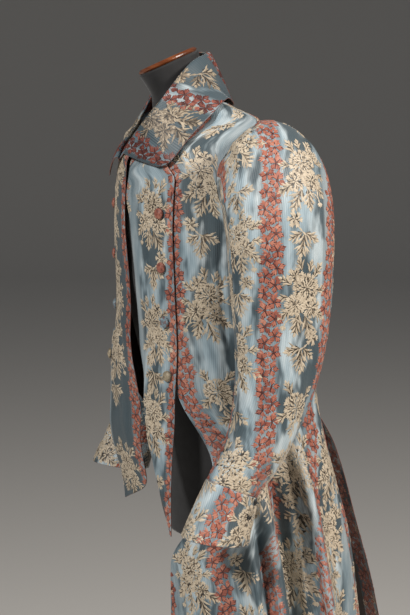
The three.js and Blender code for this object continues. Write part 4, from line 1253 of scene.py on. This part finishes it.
# ---------- collar ----------
COLLAR_LINE = [(0, 35.5), (140, 35.5)]
COLLAR_EASE = 0.93  # the pattern across the collar, drawn in a little where it bends round the neck
COLLAR_SHADE = 0.4  # its flowers lie turned away from the light
grid, normal, s, t = collar_piece()
half = weave((grid, normal, np.abs(s) * COLLAR_EASE, t), COLLAR_LINE, 0, COLUMNS["collar"])
half = [p[:6] + (p[6] - COLLAR_SHADE, p[7]) for p in half if p[0] > 4]
collar = (grid, normal, s * COLLAR_EASE, t)
# The collar's silk gets extra slate cloud as painted shade, as it lies turned away from the light.
cloth_piece("collar", collar, COLLAR_LINE, half + moved(half, 0, 0, mirror=True),
            slate_and_painted_shade=0.12)

# ---------- buttons ----------
BUTTON_PROFILE = ((7.4, 0), (8.5, 1.0), (8.7, 2.4), (8.3, 3.8), (7.4, 4.6), (6.5, 4.5), (5.6, 4.9), (3.8, 5.8),
                  (1.6, 6.3))
CORAL_SCRAP = ((0.3, "#4A251E"), (0.48, "#854A3C"), (0.7, "#A8705C"))
BLUE_SCRAP = ((0.36, "#7C4438"), (0.46, "#5C6C75"), (0.66, "#8B9CA5"))
CREAM_SCRAP = ((0.3, "#4B4438"), (0.5, "#8C806B"), (0.7, "#B4A68C"))
for k, (z, x) in enumerate(BUTTONS):
    scrap = (CORAL_SCRAP, CORAL_SCRAP, BLUE_SCRAP, CREAM_SCRAP)[k]
    # Scraps of the brocade drawn over a button mould.
    covering = matt_cloth(f"covered_button_{k + 1}", scrap, (190, 3.0, 0.6), (900, 2.0), (0.5, 0.0005))
    for side, word in SIDES:
        point, normal = strip_place(side, angle_at_x(side, x, z), np.float64(z))
        turn = np.array(Vector(normal).to_track_quat("Z", "Y").to_matrix())
        points, faces = closed_stack(turned(BUTTON_PROFILE, 36))
        node = f"button_{word}_{k + 1}"
        button = make_mesh(node + "_covered", points @ turn.T + point + normal * 0.7, faces, [covering])
        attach(button, "root")
        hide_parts(node)

# ---------- dress form ----------
FORM_INSET = 4.8
FORM_LOWER = table(BODY_COLUMNS, (1200, 166, -96, 38, 140, 2.3), (1100, 150, -76, 35, 130, 2.2),
                   (1000, 146, -52, 32, 132, 2.1), (900, 140, -40, 30, 128, 2.1), (840, 132, -36, 30, 118, 2.0),
                   (800, 118, -32, 32, 102, 2.0), (775, 98, -28, 34, 84, 2.0))
FORM_HEIGHTS = (775, 780, 786, 792, 800, 808, 818, 828, 840, 870, 900, 950, 1000, 1050, 1100, 1150, 1200, 1240, 1287,
                1330, 1371, 1400, 1411, 1422, 1430, 1438, 1444, 1450, 1455, 1459, 1463, 1466, 1470, 1473, 1477, 1480)
FORM_NECK = ((0, -9, 1486, 54, 50, 4), (0, -15, 1500, 44, 48, 10), (-2, -24, 1520, 42, 49, 17),
             (-4, -33, 1541, 43, 52, 24))  # x, y, z, half width, depth, tilt
NECK_AXIS = Vector((math.cos(math.radians(25)), -math.sin(math.radians(25)), 0))


def form_ring(z, angles):
    halves = []
    for side, half_turn in ((1, angles[angles <= 180]), (-1, 360 - angles[angles > 180])):
        inside = np.array(body_section(side, z + FORM_INSET)) + FORM_INSET * np.array([-1, 1, 0, -1, 0])
        shape = mix(inside, np.array(section(FORM_LOWER, z)), ramp(1300, 1200, z))
        halves.append(section_point(shape, side, half_turn, z))
    return np.vstack(halves)


def neck_ring(row, angles):
    x, y, z, half, deep, tilt = row
    a = np.radians(angles)
    flat = np.stack([half * np.sin(a), -deep * np.cos(a), 0 * a], axis=-1)
    return flat @ np.array(Matrix.Rotation(math.radians(tilt), 3, NECK_AXIS)).T + (x, y, z)


ROUND = np.arange(0, 360, 5.0)
points, faces = closed_stack(smooth_stack(
    [form_ring(np.float64(z), ROUND) for z in FORM_HEIGHTS] + [neck_ring(row, ROUND) for row in FORM_NECK], 200))
torso = make_mesh("jersey_form", points, faces, [jersey])
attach(torso, "root")
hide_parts("form_torso")
for node in ("form_cap", "form_end_plate", "stand_pole", "stand_foot"):
    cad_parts[node].data.materials.clear()
    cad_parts[node].data.materials.append(wood)

# ---------- floor and lights ----------
CENTRE = metres([0, 0, 0])


def studio():
    """A round pale floor that curves up far behind."""
    profile = [(0, 0), (9, 0)] + [(9 + 6 * math.sin(a), 6 - 6 * math.cos(a)) for a in np.linspace(0.1, 1.5, 12)]
    rings = turned(profile, 96) * 1000
    # Matt seamless paper.
    paper = Nodes("pale_paper").finish(Base_Color=colour("#D2D0CC"), Roughness=0.8)
    make_mesh("studio_floor", rings.reshape(-1, 3), ring_faces(rings), [paper])


def soft_light(name, azimuth, elevation, distance, size, power, tint="#FFFFFF"):
    data = bpy.data.lights.new(name, "AREA")
    data.shape = "RECTANGLE"
    data.size, data.size_y = size
    data.energy = power
    data.color = colour(tint)[:3]
    light = bpy.data.objects.new(name, data)
    a, e = math.radians(azimuth), math.radians(elevation)
    aim = Vector(CENTRE) + Vector((0, 0, 1.15))
    away = Vector((math.sin(a) * math.cos(e), -math.cos(a) * math.cos(e), math.sin(e)))
    light.location = aim + away * distance
    light.rotation_euler = away.to_track_quat("Z", "Y").to_euler()
    light.visible_camera = False
    bpy.context.scene.collection.objects.link(light)


studio()
soft_light("key", 120, 34, 3.4, (0.6, 0.6), 128, "#FFF8F0")
soft_light("front", 25, 33, 3.4, (0.5, 0.5), 92, "#FFFCF8")
world = bpy.data.worlds.new("studio")
world.use_nodes = True
world.node_tree.nodes["Background"].inputs[0].default_value = colour("#E8EAEE")
world.node_tree.nodes["Background"].inputs[1].default_value = 0.10
bpy.context.scene.world = world
bpy.context.scene.view_settings.view_transform = "Standard"
